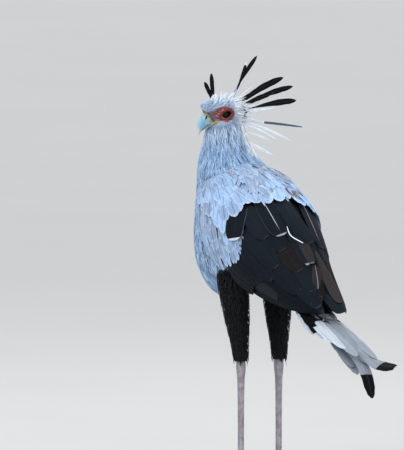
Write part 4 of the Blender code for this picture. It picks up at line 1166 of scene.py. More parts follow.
def make_foot(side, word, scales, horn):
    """Hub and four toes in one piece, and a claw on each toe."""
    heights, shares = np.array(HUB).T
    rings = shank_rings(side, heights, TARSUS_RADIUS * shares[:, None], circle(40))
    foot = loft(f"toes_{word}", rings, scales)
    start = np.array([side * ANKLE_X, 0.0, 0.0])
    toes = []
    for number, length, heading, radius in TOES:
        angle = math.radians(heading) * side
        ahead = np.array([math.sin(angle), -math.cos(angle), 0.0])
        t = np.linspace(0, 1, 90)
        radii = radius * (1.08 - 0.30 * t) * (1.0 + 0.09 * np.cos(t * math.pi * 5))
        lift = radii * 0.92 + 0.004 * (1 - t) ** 2
        turn = circle(28)
        rings = tube_rings(start + ahead * (length * t)[:, None] + UP * lift[:, None], radii, ahead, turn)
        wave = scute_wave(t, round(length / SCUTE_LENGTH))
        rings[..., 2] += 0.0006 * wave[:, None] * ease(np.sin(turn), 0.2, 0.7)
        toes.append(loft("toe", rings, scales))
        t = np.linspace(0, 1, 24)
        base = radius * 0.66
        drop = base * 1.15 + 0.0030 * np.sin(math.pi * np.minimum(t * 1.1, 1.0)) - base * 0.80 * t * t
        reach = length - 0.0015 + (CLAW_LENGTH + 0.0012) * t
        points = start + ahead * reach[:, None] + UP * drop[:, None]
        rings = tube_rings(points, base * (1.0 - 0.90 * t), ahead, circle(20))
        claw = loft(f"nail_{word}_{number}", rings, horn)
        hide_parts(f"claw_{word}_{number}")
    combine(foot, toes, "UNION")
    points = mesh_points(foot)
    away = np.hypot(points[:, 0] - side * ANKLE_X, points[:, 1])
    top = ease(points[:, 2], 0.008, 0.013) * ease(away, 0.012, 0.018)
    add_mark(foot.data, "scute", np.stack([scute_wave(away / SCUTE_LENGTH, 1), top, 0 * top], -1))
    smooth(foot.data, 65.0)
    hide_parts(f"foot_{word}")


def tinted(rng, colour, fringe, spread=0.15):
    """Tint of each feather: its ground colour varied in lightness, and how pale its rim is."""
    count = len(colour)
    value = 1.0 + rng.normal(0.0, spread, count)[:, None]
    warm = rng.normal(0.0, 0.02, count)[:, None] * np.array([1.0, 0.1, -1.0])
    return np.hstack([np.clip(colour * value * (1 + warm), 0.004, 0.95), np.full((count, 1), fringe)])


def unwrap(u, v, low, high):
    """Places in the unwrap for feathers rooted at turns u and stations v."""
    across, along = (u / TURN) % 1.0, np.clip((v - low) / (high - low), 0, 1)
    return np.stack([across, along], -1) * 0.96 + 0.02


def cover(coat, form, u, v, aim, length, half, shape, rng, colour, fringe, low, high, where,
          turn=12.0, splay=0.0, roll=0.16, spread=0.15):
    """Small feathers rooted at surface places, following the aim, their tips standing highest."""
    parts = shape[:, 0]
    count = len(u)
    length = length * rng.uniform(0.80, 1.18, count)
    half = half * rng.uniform(0.85, 1.15, count)
    twist = np.radians(rng.normal(0.0, turn, count))
    points, normals = form.trace(u, v, aim, length, parts, twist)
    reach = low + (high - low) * climb(parts, 0.0, 1.0, 0.55)
    reach = reach + (rng.normal(0.0, 0.0006, count) + splay * length)[:, None] * parts ** 2
    points = points + normals * reach[..., None]
    roll = rng.normal(0.0, roll, count)[:, None, None]
    normals = unit(normals + np.cross(unit(np.gradient(points, axis=1)), normals) * roll)
    coat.small(points, normals, half, shape, tinted(rng, colour, fringe, spread), rng.random(count), where)


def beneath_wing(points):
    """True where the folded wings hide the trunk."""
    x, y, z = split(points)
    low = np.interp(y, [-0.14, -0.065, 0.04, 0.14], [0.70, 0.625, 0.580, 0.550])
    high = np.interp(y, [-0.14, -0.02, 0.06], [0.765, 0.745, 0.700])
    return (y > -0.125) & (z > low) & (z < high) & (np.abs(x) > 0.045)


def steady(way):
    """A lie that is the same everywhere."""
    return lambda point, u, v: unit(way + 0 * point)


def down_and_back(point, u, v):
    """Lie of the trunk's feathers: down on the breast, more to the back behind and beneath."""
    x, y, z = split(point)
    back = 0.10 + 1.3 * ease(y, -0.17, 0.02) + 0.9 * fall(z, 0.52, 0.60) * ease(y, -0.24, -0.12)
    return unit(np.stack([0 * x, back, -np.ones_like(x)], -1))


def head_lie(point, u, v):
    """Lie of the head's feathers: back over the crown, down on cheek and throat."""
    f, l, up = in_head(point)
    back = -HEAD_F + HEAD_U * ease(f, 0.028, 0.052)[..., None] * 1.3
    side = HEAD_L * (np.sign(l) * 0.25 * ease(f, 0.0, 0.03))[..., None]
    return unit(over(back + side, -UP - 0.55 * HEAD_F, ease(-up, -0.012, 0.036)))


def mantle_lie(point, u, v):
    """Lie of the feathers between the wings, fanning a little outward."""
    return unit(np.stack([u * 5.0, 1.0 + 0 * u, -0.5 + 0 * u], -1))


def strands(rng, colour, dark_share, strength=1.0):
    """Neighbouring feathers paler and darker, and a few of them dark."""
    pick = rng.random(len(colour))[:, None]
    colour = np.where(pick > 0.72, over(colour, WHITE, 0.28 * strength), colour)
    colour = np.where((pick > 0.45) & (pick < 0.72), colour * (1 - 0.15 * strength), colour)
    return np.where(pick < dark_share, colour * 0.45, colour)


def folds(colour, turn, z, count, depth):
    """Painted light and shade of long soft folds running down a coat."""
    wave = np.sin(turn * count + 2.2 * np.sin(z * 31.0 + 1.0))
    wave = wave + 0.6 * np.sin(turn * count * 2.3 + 1.7 * np.sin(z * 47.0))
    return colour * (1.0 + depth * wave)[:, None]


def straight(roots, ways, lengths):
    """Centres of short straight feathers, and the share of the length at each of their points."""
    t = TUFT_SHAPE[:, 0]
    return roots[:, None] + ways[:, None] * (lengths[:, None] * t)[..., None], t


def make_head_coat(paint):
    """Small feathers of the head, loose ones behind it, crown tufts and lashes."""
    rng = np.random.default_rng(SEEDS["head"])
    coat = Coat("head_feathers", paint)

    def keep(points, u, v):
        f, _, up = in_head(points)
        return (bareness(points) < 0.25) & (f < BILL_SEAM_F - 0.0012 + up * BILL_SEAM_SLOPE)

    u, v, points = scatter(rng, 40000, AROUND, (-0.053, 0.0565), HEAD, 0.0022, keep)
    f, _, up = in_head(points)
    near = np.clip((bare_reach(f, up) - 1.0) / 0.8, 0.0, 1.0)
    length = 0.0058 + 0.0095 * near * ease(-f, -0.03, 0.045) + 0.012 * ease(-up, 0.005, 0.035)
    brow = (ease(f, 0.018, 0.044) * ease(up, 0.006, 0.022))[:, None]
    colour = strands(rng, coat_colour(points), 0.02, 0.5)
    cover(coat, HEAD, u, v, head_lie, length, 0.00085 + 0.0004 * near, STRAND_SHAPE, rng, colour, 0.2,
          -0.0026, 0.0004 + 0.0034 * brow, unwrap(u, v, *SKULL_SPAN), turn=9.0, splay=0.03, spread=0.07)

    # Longer loose feathers of the nape and the ear, standing off the back of the head
    u, v, points = scatter(rng, 4000, AROUND, (-0.053, -0.022), HEAD, 0.0042)
    kept = (in_head(points)[2] < 0.034) & (bareness(points) < 0.1)
    u, v = u[kept], v[kept]
    length = rng.uniform(0.016, 0.040, len(u))
    colour = np.where((rng.random(len(u)) < 0.12)[:, None], COVERT_GREY * 0.3, SILK_WHITE)
    lie = steady(-HEAD_F * 0.9 - HEAD_U * 0.45)
    cover(coat, HEAD, u, v, lie, length, 0.0011, STRAND_SHAPE, rng, colour, 0.3, -0.003, 0.001,
          unwrap(u, v, *SKULL_SPAN), turn=18.0, splay=0.24)

    # Short upright tufts of the crown
    count = 64
    f = rng.uniform(-0.040, 0.026, count)
    turn = math.pi / 2 + rng.normal(0.0, 0.34, count)
    tall = rng.uniform(0.009, 0.019, count)
    way = HEAD_U - HEAD_F * rng.uniform(0.25, 1.15, count)[:, None]
    way = unit(way + HEAD_L * rng.normal(0.0, 0.3, count)[:, None])
    points, t = straight(skull_place(turn, f) - way * 0.002, way, tall)
    points = points - HEAD_F * (0.25 * tall[:, None] * t ** 2)[..., None]
    normals = np.broadcast_to(unit(HEAD_L + 0.4 * HEAD_F), points.shape)
    half = rng.uniform(0.0010, 0.0018, count)
    tint = tinted(rng, np.tile(SILK_WHITE, (count, 1)), 0.3)
    coat.small(points, normals, half, TUFT_SHAPE, tint, rng.random(count), unwrap(turn, f, *SKULL_SPAN))
    coat.finish()

    # Lashes over each eye and bristles in front of it
    lashes = Coat("lashes", paint)

    def hairs(points, normal, half, colour, where):
        dark = tinted(rng, np.tile(colour, (len(points), 1)), 0.0)
        normals = np.broadcast_to(normal, points.shape)
        halves = np.full(len(points), half)
        lashes.small(points, normals, halves, TUFT_SHAPE, dark, rng.random(len(points)), where, 0.5, 0.0002)

    for side, _ in SIDES:
        count = 17
        turn = np.radians(np.linspace(12, 172, count) + rng.normal(0, 2, count))
        f, u = lid_opening(turn)
        long = rng.uniform(0.0050, 0.0078, count)
        way = HEAD_L * side * 0.9 + HEAD_F * (0.7 * np.cos(turn) + 0.15)[:, None]
        way = unit(way + HEAD_U * (0.55 * np.sin(turn))[:, None])
        points, t = straight(head_point(f, side * (skull_half(f, u) + 0.0008), u), way, long)
        points = points + HEAD_U * (0.3 * long[:, None] * t ** 2)[..., None]
        where = np.stack([turn / TURN + 0.2, np.full(count, 0.5 + 0.2 * side)], -1)
        hairs(points, HEAD_F, 0.00022, BLACK, where)
        count = 26
        f = rng.uniform(0.030, 0.045, count)
        u = rng.uniform(-0.009, 0.018, count)
        root = head_point(f, side * (skull_half(np.minimum(f, 0.045), u) + 0.0002), u)
        way = HEAD_F * rng.uniform(0.5, 1.0, count)[:, None] + HEAD_L * side * 0.25
        way = unit(way + HEAD_U * rng.normal(0.1, 0.25, count)[:, None])
        points, _ = straight(root, way, rng.uniform(0.004, 0.009, count))
        hairs(points, HEAD_U, 0.00020, BLACK * 2, np.stack([f * 10, 0.3 + u * 5], -1))
    lashes.finish()


def make_body_coat(paint):
    """Feathers of neck, breast, back and mantle."""
    rng = np.random.default_rng(SEEDS["body"])
    coat = Coat("neck_feathers", paint)
    u, v, points = scatter(rng, 40000, AROUND, (0.838, 0.964), BODY, 0.0036,
                           lambda p, u, v: in_head(p)[2] < -0.018)
    # Neck colour with painted light and shade of long folds.
    colour = folds(strands(rng, coat_colour(points), 0.03, 0.8), u, v, 11.0, 0.12)
    low = fall(v, 0.86, 0.95)
    cover(coat, BODY, u, v, steady(np.array([-0.10, 0.16, -1.0])), 0.034 + 0.010 * low, 0.0013 + 0.0006 * low,
          STRAND_SHAPE, rng, colour, 0.45, -0.005, 0.0006, unwrap(u, v, 0.83, 0.97),
          turn=7.0, splay=0.02, roll=0.06, spread=0.11)
    coat.finish()

    coat = Coat("breast_feathers", paint)
    u, v, points = scatter(rng, 60000, AROUND, (0.496, 0.852), BODY, 0.0064,
                           lambda p, u, v: ~beneath_wing(p) & (p[:, 1] < 0.0))
    # Breast colour with painted light and shade of long folds.
    colour = folds(strands(rng, coat_colour(points), 0.09), u, v, 9.0, 0.15)
    tall = ease(v, 0.76, 0.85)
    cover(coat, BODY, u, v, down_and_back, 0.056 - 0.016 * tall, 0.0048 - 0.0024 * tall, STRAND_SHAPE, rng,
          colour, 0.55, -0.009, 0.0004, unwrap(u, v, 0.49, 0.86), turn=8.0, splay=0.01, roll=0.08)
    coat.finish()

    coat = Coat("back_feathers", paint)
    u, v, points = scatter(rng, 24000, AROUND, (0.510, 0.860), BODY, 0.0095,
                           lambda p, u, v: (p[:, 1] >= -0.012) & ~beneath_wing(p))
    colour = np.where((v > 0.62)[:, None], COVERT_GREY, coat_colour(points))
    colour = over(colour, WHITE * 0.9, ease(points[:, 1], 0.05, 0.10) * ease(v, 0.58, 0.62))
    cover(coat, BODY, u, v, down_and_back, 0.042, 0.0085, ROUND_SHAPE, rng, colour, 0.3, -0.006, 0.0012,
          unwrap(u, v, 0.50, 0.87), turn=8.0)
    # Mantle: long feathers over the strip between the wings
    u, v, points = scatter(rng, 9000, (-0.056, 0.056), (-0.135, 0.082), SADDLE, 0.0082)
    pale = rng.random(len(u))[:, None]
    colour = np.where(pale < 0.35, MANTLE_GREY, np.where(pale < 0.85, COVERT_GREY, PALE_GREY * 0.9))
    colour = np.where((v[:, None] > 0.068) & (u[:, None] < 0.004) & (pale < 0.7), UMBER * 4.0, colour)
    where = np.stack([0.5 + u * 8, np.clip((v + 0.135) / 0.21, 0, 1)], -1)
    cover(coat, SADDLE, u, v, mantle_lie, 0.060, 0.0080, LANCE_SHAPE, rng, colour, 0.60, -0.007, 0.0052,
          where, turn=9.0)
    coat.finish()


def make_thigh_coat(paint):
    """Black trouser feathers with a ragged hem."""
    rng = np.random.default_rng(SEEDS["thigh"])

    def keep(points, u, v):
        return v > 0.348 + 0.0035 * np.sin(u * 5.0) + 0.0025 * np.sin(u * 13.0 + 1.0)

    for side, word in SIDES:
        coat = Coat(f"trouser_feathers_{word}", paint)
        u, v, _ = scatter(rng, 30000, AROUND, (0.343, 0.592), THIGHS[side], 0.0046, keep)
        foot = fall(v, 0.36, 0.47)
        length = 0.019 + rng.uniform(-0.004, 0.005, len(u)) * foot
        cover(coat, THIGHS[side], u, v, steady(np.array([0.0, 0.10, -1.0])), length, 0.0022, TUFT_SHAPE, rng,
              np.tile(BLACK, (len(u), 1)), 0.0, -0.0070, (0.0004 - 0.0040 * foot)[:, None],
              unwrap(u, v, 0.32, 0.60), turn=15.0, splay=0.05)
        coat.finish()


# Edges of the grey coverts in wing places (a, b), given by the tips of the last rows
LOWER_EDGE = ((0.17, 1.02), (0.25, 1.01), (0.335, 0.98), (0.40, 0.92), (0.47, 0.84), (0.525, 0.73),
              (0.535, 0.62))
UPPER_EDGE = {
    1.0: ((0.42, 0.64), (0.395, 0.53), (0.43, 0.43), (0.435, 0.35), (0.43, 0.29), (0.445, 0.22),
          (0.475, 0.15), (0.495, 0.08), (0.50, 0.0)),
    -1.0: ((0.42, 0.64), (0.43, 0.52), (0.46, 0.40), (0.485, 0.28), (0.490, 0.18), (0.495, 0.08),
           (0.48, -0.04)),
}
COVERT_ROWS = 9

# Tiers of flight feathers: count, first and last root, first and last tip, half width, lift, step of lift
TIERS = (
    (6, (0.40, 0.97), (0.56, 0.88), (0.66, 1.01), (0.94, 0.96), 0.0150, -0.0078, 0.0001),
    (10, (0.54, 0.90), (0.55, 0.46), (0.955, 0.90), (1.00, 0.26), 0.0150, -0.0070, 0.0008),
    (15, (0.36, 0.97), (0.46, 0.14), (0.58, 0.995), (0.86, 0.24), 0.0190, -0.0010, 0.0001),
)
TIER_SHADE = (0.72, 0.72, 0.75, 1.0)

# Single large feathers of each wing, the lowest first: root, tip, half width, lift, roll,
# and where they aren't the plain ones: colour, paleness of the rim, pale shaft
PLAIN_FEATHER = ("ink", 0.04, False)
SINGLE_FEATHERS = {
    1.0: (
        (0.50, 0.32, 0.97, 0.30, 0.0220, 0.0018, 0.0),
        (0.46, 0.50, 0.86, 0.44, 0.0230, 0.0022, 2.0),
        (0.42, 0.58, 0.73, 0.62, 0.0230, 0.0028, 2.0),
        (0.60, 0.05, 0.93, 0.00, 0.0190, 0.0026, 0.0, "brown"),
        (0.56, 0.16, 0.89, 0.14, 0.0200, 0.0030, 2.0),
        (0.50, 0.30, 0.785, 0.16, 0.0250, 0.0042, 3.0, "brown"),
        (0.50, 0.10, 0.775, 0.03, 0.0120, 0.0060, -2.0, "ink", 0.60),
        (0.50, 0.05, 0.775, -0.03, 0.0140, 0.0074, -3.0, "umber", 0.22),
        (0.44, 0.40, 0.72, 0.42, 0.0240, 0.0044, 3.0),
        (0.42, 0.24, 0.685, 0.22, 0.0270, 0.0062, 2.0),
        (0.44, 0.06, 0.660, 0.03, 0.0200, 0.0074, -3.0),
        (0.38, 0.29, 0.605, 0.30, 0.0250, 0.0082, 3.0),
        (0.38, 0.13, 0.635, 0.15, 0.0275, 0.0098, 0.0, "ink", 0.65, True),
        (0.38, 0.22, 0.482, 0.585, 0.0285, 0.0104, -5.0, "ink", 1.90),
    ),
    -1.0: (
        (0.50, 0.32, 0.97, 0.30, 0.0200, 0.0000, 0.0),
        (0.46, 0.52, 0.86, 0.46, 0.0210, 0.0004, 2.0),
        (0.42, 0.60, 0.73, 0.64, 0.0210, 0.0008, 2.0),
        (0.58, 0.10, 0.92, 0.10, 0.0180, 0.0010, -2.0, "brown"),
        (0.60, 0.30, 0.91, 0.34, 0.0190, 0.0014, 2.0, "brown"),
        (0.52, 0.08, 0.80, 0.06, 0.0200, 0.0022, -2.0),
        (0.46, 0.20, 0.74, 0.24, 0.0240, 0.0028, 2.0),
        (0.38, 0.52, 0.66, 0.58, 0.0230, 0.0030, 3.0),
        (0.38, 0.34, 0.680, 0.40, 0.0250, 0.0042, 2.0),
        (0.36, 0.16, 0.685, 0.20, 0.0270, 0.0058, 0.0, "ink", 0.04, True),
    ),
}

# Feathers over the gap between the wings: line, half width, colour, paleness of the rim, pale shaft
MIDDLE_FEATHERS = (
    (((0.006, 0.318, 0.553), (-0.004, 0.360, 0.522), (-0.014, 0.400, 0.4885)), 0.0200, "ink", 0.04, False),
    (((-0.014, 0.235, 0.650), (-0.020, 0.312, 0.575), (-0.021, 0.378, 0.5140)), 0.0160, "dun", 0.04, False),
    (((-0.004, 0.190, 0.690), (-0.004, 0.265, 0.615), (-0.006, 0.345, 0.532)),
     0.0230, "brown", 0.04, False),
    (((0.004, 0.292, 0.604), (0.020, 0.334, 0.552), (0.046, 0.366, 0.499)), 0.0155, "umber", 0.04, True),
    (((0.006, 0.108, 0.784), (0.012, 0.185, 0.724), (-0.010, 0.250, 0.660)), 0.0255, "ink", 0.04, False),
    (((0.0370, 0.2030, 0.7010), (0.0350, 0.2210, 0.6780), (0.0200, 0.2580, 0.6610)),
     0.0017, "white", 0.0, False),
)
MIDDLE_UP = np.array([0.10, 0.62, 0.78])


def wing_feather(coat, side, root, tip, half, lift, tint, shape, rng, roll=4.5, skew=0.12, ragged=0.05,
                 steps=22, shaft=False):
    """Large feather laid on the wing from a root to a tip place."""
    parts = np.concatenate([np.linspace(0.0, 0.93, steps - 6), np.linspace(0.95, 1.0, 6)])
    a, b = (root[k] + (tip[k] - root[k]) * parts for k in range(2))
    form = WINGS[side]
    normals = form.at(np.minimum(a, 0.985), np.clip(b, 0.02, 0.98))[3]
    points = form.place(a, b) + normals * climb(parts, -0.0075, lift)[:, None]
    line = np.broadcast_to(unit(points[-1] - points[0]), normals.shape)
    turn = math.radians(roll) * side
    normals = normals * math.cos(turn) + np.cross(line, normals) * math.sin(turn)
    halves = half * np.interp(parts, *shape.T)
    coat.large(points, normals, halves, parts, tint, rng, shaft, skew * side, 0.05, ragged)


def free_feather(coat, line, half, up, bands, rng, shape=BROAD_SHAPE, dish=0.10, ragged=0.05, fringe=0.0,
                 steps=34, shaft=False):
    """Large feather along a line in space, its colour in bands of (start, colour)."""
    edges = [e for start, _ in bands if start > 0 for e in (start - 0.004, start)]
    parts = np.unique(np.concatenate([np.linspace(0, 0.94, steps - 7), np.linspace(0.955, 1.0, 6), edges]))
    tints = np.full((len(parts), 4), float(fringe))
    for start, colour in bands:
        tints[parts >= start - 1e-6, :3] = colour
    ups = np.atleast_2d(up)
    at = np.linspace(0, 1, len(ups))
    normals = unit(np.stack([np.interp(parts, at, ups[:, k]) for k in range(3)], -1))
    halves = half * np.interp(parts, *shape.T)
    tints = tints[None, :, None, :]
    coat.large(curve(line, parts), normals, halves, parts, tints, rng, shaft, 0.0, dish, ragged)


def tint_of(rng, name, fringe):
    """A named dark or pale ground colour, a little varied, with its rim's paleness."""
    colour = {"ink": INK, "brown": BROWN, "umber": UMBER, "dun": DUN, "white": SILK_WHITE}[name]
    return np.array([*(colour * rng.uniform(0.85, 1.2)), fringe])


def wing_bed(side, word, paint):
    """A thin solid under the wing's feathers."""
    rings, marks = [], []
    b = np.linspace(0.03, 0.95, 30)
    for a in np.linspace(0.0, 0.76, 40):
        point, _, _, normal = WINGS[side].at(np.full(len(b), a), b)
        depth = (0.009 * np.sin(math.pi * (0.12 + 0.76 * b)) * (1 - 0.55 * a) + 0.001)[:, None]
        rings.append(np.vstack([point - normal * 0.0050, (point - normal * (0.0050 + depth))[::-1]]))
        marks += [(*over(COVERT_GREY, INK, ease(a, 0.30, 0.36)), 0.0)] * (2 * len(b))
    marks += [marks[0], marks[-1]]
    bed = loft(f"wing_bed_{word}", rings, paint, {"tint": marks, "vane": np.full((len(marks), 3), 0.3)})


def covert_lie(point, a, b):
    """Lie of the coverts, from the tip back to the root."""
    lower = ease(b, 0.25, 0.75)
    back = 0.95 * (1 - lower) + 0.26 * lower
    down = -0.72 * (1 - lower) - 1.0 * lower
    return -unit(np.stack([0 * back, back, down], -1))


def covert_row(coat, form, rng, edge, shift, count, length, half, low, high, shape, colour, jitter):
    """One row of coverts, its tips along an edge."""
    t = (np.arange(count) + 0.5 + rng.normal(0, 0.12, count)) / count
    place = curve(edge, t)
    a = place[:, 0] - shift[0] - np.abs(rng.normal(0, jitter, count))
    b = place[:, 1] - shift[1] + rng.normal(0, jitter, count)
    kept = (a > 0.02) & (b > -0.02)
    a, b = a[kept], b[kept]
    count = len(a)
    parts = shape[:, 0]
    long = np.minimum(length * rng.uniform(0.9, 1.12, count), 0.50 * (a + 0.06))
    twist = np.radians(rng.normal(0, 6, count))
    points, normals = (found[:, ::-1] for found in form.trace(a, b, covert_lie, long, 1 - parts[::-1], twist))
    rise = climb(parts, low, high, 0.6) + rng.normal(0, 0.0004, count)[:, None]
    points = points + normals * rise[..., None]
    mixed = np.where(rng.random(count)[:, None] < 0.3, colour * 0.6 + MANTLE_GREY * 0.4, colour)
    tint = tinted(rng, mixed, 0.60, 0.16)
    where = np.clip(np.stack([a, b], -1), 0, 1) * 0.96 + 0.02
    halves = half * rng.uniform(0.88, 1.12, count)
    coat.small(points, normals, halves, shape, tint, rng.random(count), where, 0.10)


def make_wing(side, word, flight, feather):
    """Bed, flight feathers and covert rows of one folded wing."""
    rng = np.random.default_rng(SEEDS["wing"])
    wing_bed(side, word, feather)
    coat = Coat(f"wing_flight_{word}", flight, 8)
    tuck = 0.0 if side > 0 else 0.0025
    for count, root0, root1, tip0, tip1, half, lift, step in TIERS:
        for n in range(count):
            t = n / (count - 1)
            ends = (root0, root1), (tip0, tip1)
            root, tip = ([p[k] + (q[k] - p[k]) * t for k in range(2)] for p, q in ends)
            tip[0] += rng.normal(0, 0.006)
            tint = tint_of(rng, "ink", PLAIN_FEATHER[1]) * TIER_SHADE
            wing_feather(coat, side, root, tip, half, lift + step * n - tuck, tint, FLIGHT_SHAPE, rng)
    for a0, b0, a1, b1, half, lift, roll, *look in SINGLE_FEATHERS[side]:
        name, fringe, shaft = (*look, *PLAIN_FEATHER[len(look):])
        tint = tint_of(rng, name, fringe)
        wing_feather(coat, side, (a0, b0), (a1, b1), half, lift - tuck, tint, SQUARE_SHAPE, rng, roll,
                     skew=0.05, ragged=0.03, steps=26, shaft=shaft)
    for line, half, name, fringe, shaft in MIDDLE_FEATHERS if side > 0 else ():
        bands = ((0.0, tint_of(rng, name, 0.0)[:3]),)
        free_feather(coat, line, half, MIDDLE_UP, bands, rng, SQUARE_SHAPE, 0.14, 0.03, fringe, shaft=shaft)
    coat.finish(f"wing_{word}", slot="wing_plumage")

    coat = Coat(f"wing_coverts_{word}", feather)
    for n in range(COVERT_ROWS):
        grow = 1.0 - 0.045 * n
        covert_row(coat, WINGS[side], rng, LOWER_EDGE, (0.042 * n, 0.030 * n), 18 - n,
                   0.108 * grow, 0.0108 * grow, -0.003, 0.0022 + 0.0004 * n, LONG_SHAPE, COVERT_GREY, 0.010)
    for n in range(COVERT_ROWS):
        grow = 1.0 - 0.045 * n
        # Painted light: the same grey made lighter on the right wing (1.40) than on the left (1.15). Each
        # further row is a little darker.
        colour = COVERT_GREY * ((1.15 if side > 0 else 1.40) - 0.02 * n)
        covert_row(coat, WINGS[side], rng, UPPER_EDGE[side], (0.042 * n, 0.004 * n), 9,
                   0.092 * grow, 0.0190 * grow, 0.002, 0.0128 - tuck - 0.0009 * n, ROUND_SHAPE, colour, 0.008)
    coat.finish()


# Bands of the tail: the two long feathers, then the outer ones from the middle outward
RIGHT_BANDS = ((0.0, TAIL_GREY), (0.76, BLACK), (0.975, TAIL_WHITE))
LEFT_BANDS = ((0.0, TAIL_GREY), (0.79, BLACK))
PALE_BAND = ((0.0, TAIL_GREY * 1.15),)
TAIL_BANDS = (
    PALE_BAND,
    ((0.0, TAIL_GREY), (0.12, BLACK), (0.42, TAIL_WHITE)),
    ((0.0, BLACK), (0.60, TAIL_WHITE)),
    ((0.0, BLACK), (0.84, TAIL_WHITE)),
    ((0.0, TAIL_WHITE),),
)


def make_tail(flight, feather):
    """Two long feathers, low ones, both fans and the coverts over them."""
    rng = np.random.default_rng(SEEDS["tail"])
    coat = Coat("tail_feathers", flight, 4)
    rolled = TAIL_UP + np.outer(ease(np.linspace(0, 1, 31), 0.45, 0.85), [0.55, 0.70, 0.0])
    middle = (TAIL_MIDDLE_RIGHT, rolled, RIGHT_BANDS), (TAIL_MIDDLE_LEFT, TAIL_UP, LEFT_BANDS)
    for line, up, bands in middle:
        free_feather(coat, line, TAIL_MIDDLE_WIDTH, up, bands, rng, dish=0.14)
    t = np.linspace(0, 1, 7)[:, None]
    for x, y, z in TAIL_LOW_TIPS:
        line = np.linspace((x * 0.4, 0.240, 0.502), (x, y, z), 7) + 0.010 * UP * np.sin(math.pi * t)
        free_feather(coat, line, 0.0170, TAIL_UP, PALE_BAND, rng, ragged=0.20)
    for side, _ in SIDES:
        narrow, drop = (1.0, 0.0) if side > 0 else (0.60, 0.010)
        for n, (x, y, z, half) in enumerate(TAIL_TIPS):
            root = np.array([side * (0.014 + 0.0035 * n), 0.240, 0.500 - 0.0020 * n])
            tip = np.array([side * x * narrow, y, z - drop])
            line = root + (tip - root) * t + np.array([side * 0.004, 0.0, 0.006]) * np.sin(math.pi * t)
            up = TAIL_UP + np.array([side * (0.14 + 0.03 * n), 0.0, 0.0])
            free_feather(coat, line, half, up, TAIL_BANDS[n], rng, ragged=0.18)
    coat.finish("tail", slot="tail_plumage")

    coat = Coat("tail_coverts", feather)
    u, v, _ = scatter(rng, 9000, AROUND, (0.07, 0.31), RUMP_FORM, 0.0100)
    colour = np.where(np.sin(u)[:, None] > -0.2, TAIL_WHITE * 0.8, BLACK * 1.5)
    length = 0.045 + 0.02 * ease(v, 0.15, 0.30)
    lie = steady(np.array([0.0, 1.0, -0.42]))
    cover(coat, RUMP_FORM, u, v, lie, length, 0.0085, ROUND_SHAPE, rng, colour, 0.4, -0.003, 0.0016,
          unwrap(u, v, 0.06, 0.32), turn=7.0)
    coat.finish()


# Outline and bands of each kind of crest plume
CREST_KINDS = {
    "full": (FULL_SHAPE, ((0.0, BLACK),)),
    "short": (QUILL_SHAPE, ((0.0, BLACK),)),
    "stalk": (PLUME_SHAPE, ((0.0, BLACK),)),
    "tuft": (TUFT_SHAPE, ((0.0, SILK_WHITE),)),
    "blue": (PLUME_SHAPE, ((0.0, COVERT_GREY), (0.30, BLACK))),
    "tipped": (PLUME_SHAPE, ((0.0, COVERT_GREY), (0.34, BLACK), (0.92, WHITE))),
    "white": (QUILL_SHAPE, ((0.0, SILK_WHITE),)),
    "grey": (QUILL_SHAPE, ((0.0, SILK_WHITE), (0.40, COVERT_GREY * 0.36), (0.95, SILK_WHITE * 0.8))),
}


def make_crest(flight):
    """The named plumes, then thin loose ones drawn at random."""
    rng = np.random.default_rng(SEEDS["crest"])
    coat = Coat("crest_plumes", flight, 7)
    loose = []
    for _ in range(18):
        f0, u0 = rng.uniform(-0.044, -0.034), rng.uniform(-0.030, 0.020)
        l0 = rng.uniform(-0.010, 0.012)
        length = rng.uniform(0.035, 0.085)
        angle = math.radians(rng.uniform(-28, 36) + u0 * 500)
        tip = (f0 - length * math.cos(angle), l0 * 2.2, u0 + length * math.sin(angle))
        loose.append((f0, l0, u0, *tip, 0.0013, 0.003, "white"))
    t = np.linspace(0, 1, 9)
    for f0, l0, u0, f1, l1, u1, half, bow, kind in (*CREST, *loose):
        rise = u0 + (u1 - u0) * t + bow * np.sin(math.pi * t)
        line = head_point(f0 + (f1 - f0) * t, l0 + (l1 - l0) * t, rise)
        shape, bands = CREST_KINDS[kind]
        free_feather(coat, line, half, HEAD_L + 0.25 * HEAD_U, bands, rng, shape, 0.12, 0.10, 0.12, 24)
    coat.finish()


# Camera: the photograph's side, height, scale and centre
VIEW_AZIMUTH = math.radians(150.0)
VIEW_ELEVATION = math.radians(5.0)
VIEW_DISTANCE = 45.0
VIEW_LENS = 1380.8
VIEW_CLIP = (1.0, 300.0)
VIEW_CENTRE = (-0.151, 0.685)
FLOOR_RADIUS = 90.0
LAMPS_AIM = 0.65 * UP

# Lamps: name, turn from the camera, height, distance, size, share of the key's power
LAMPS = (
    ("key", -48.0, 44.0, 4.0, 2.6, 1.0),
    ("fill", 62.0, 24.0, 4.5, 3.2, 0.34),
    ("rim", 178.0, 52.0, 4.0, 2.4, 0.55),
)


def place_object(name, data, at):
    """A lamp or camera linked into the scene, turned by a quaternion."""
    made = bpy.data.objects.new(name, data)
    made.location = at
    made.rotation_mode = "QUATERNION"
    bpy.context.scene.collection.objects.link(made)
    return made


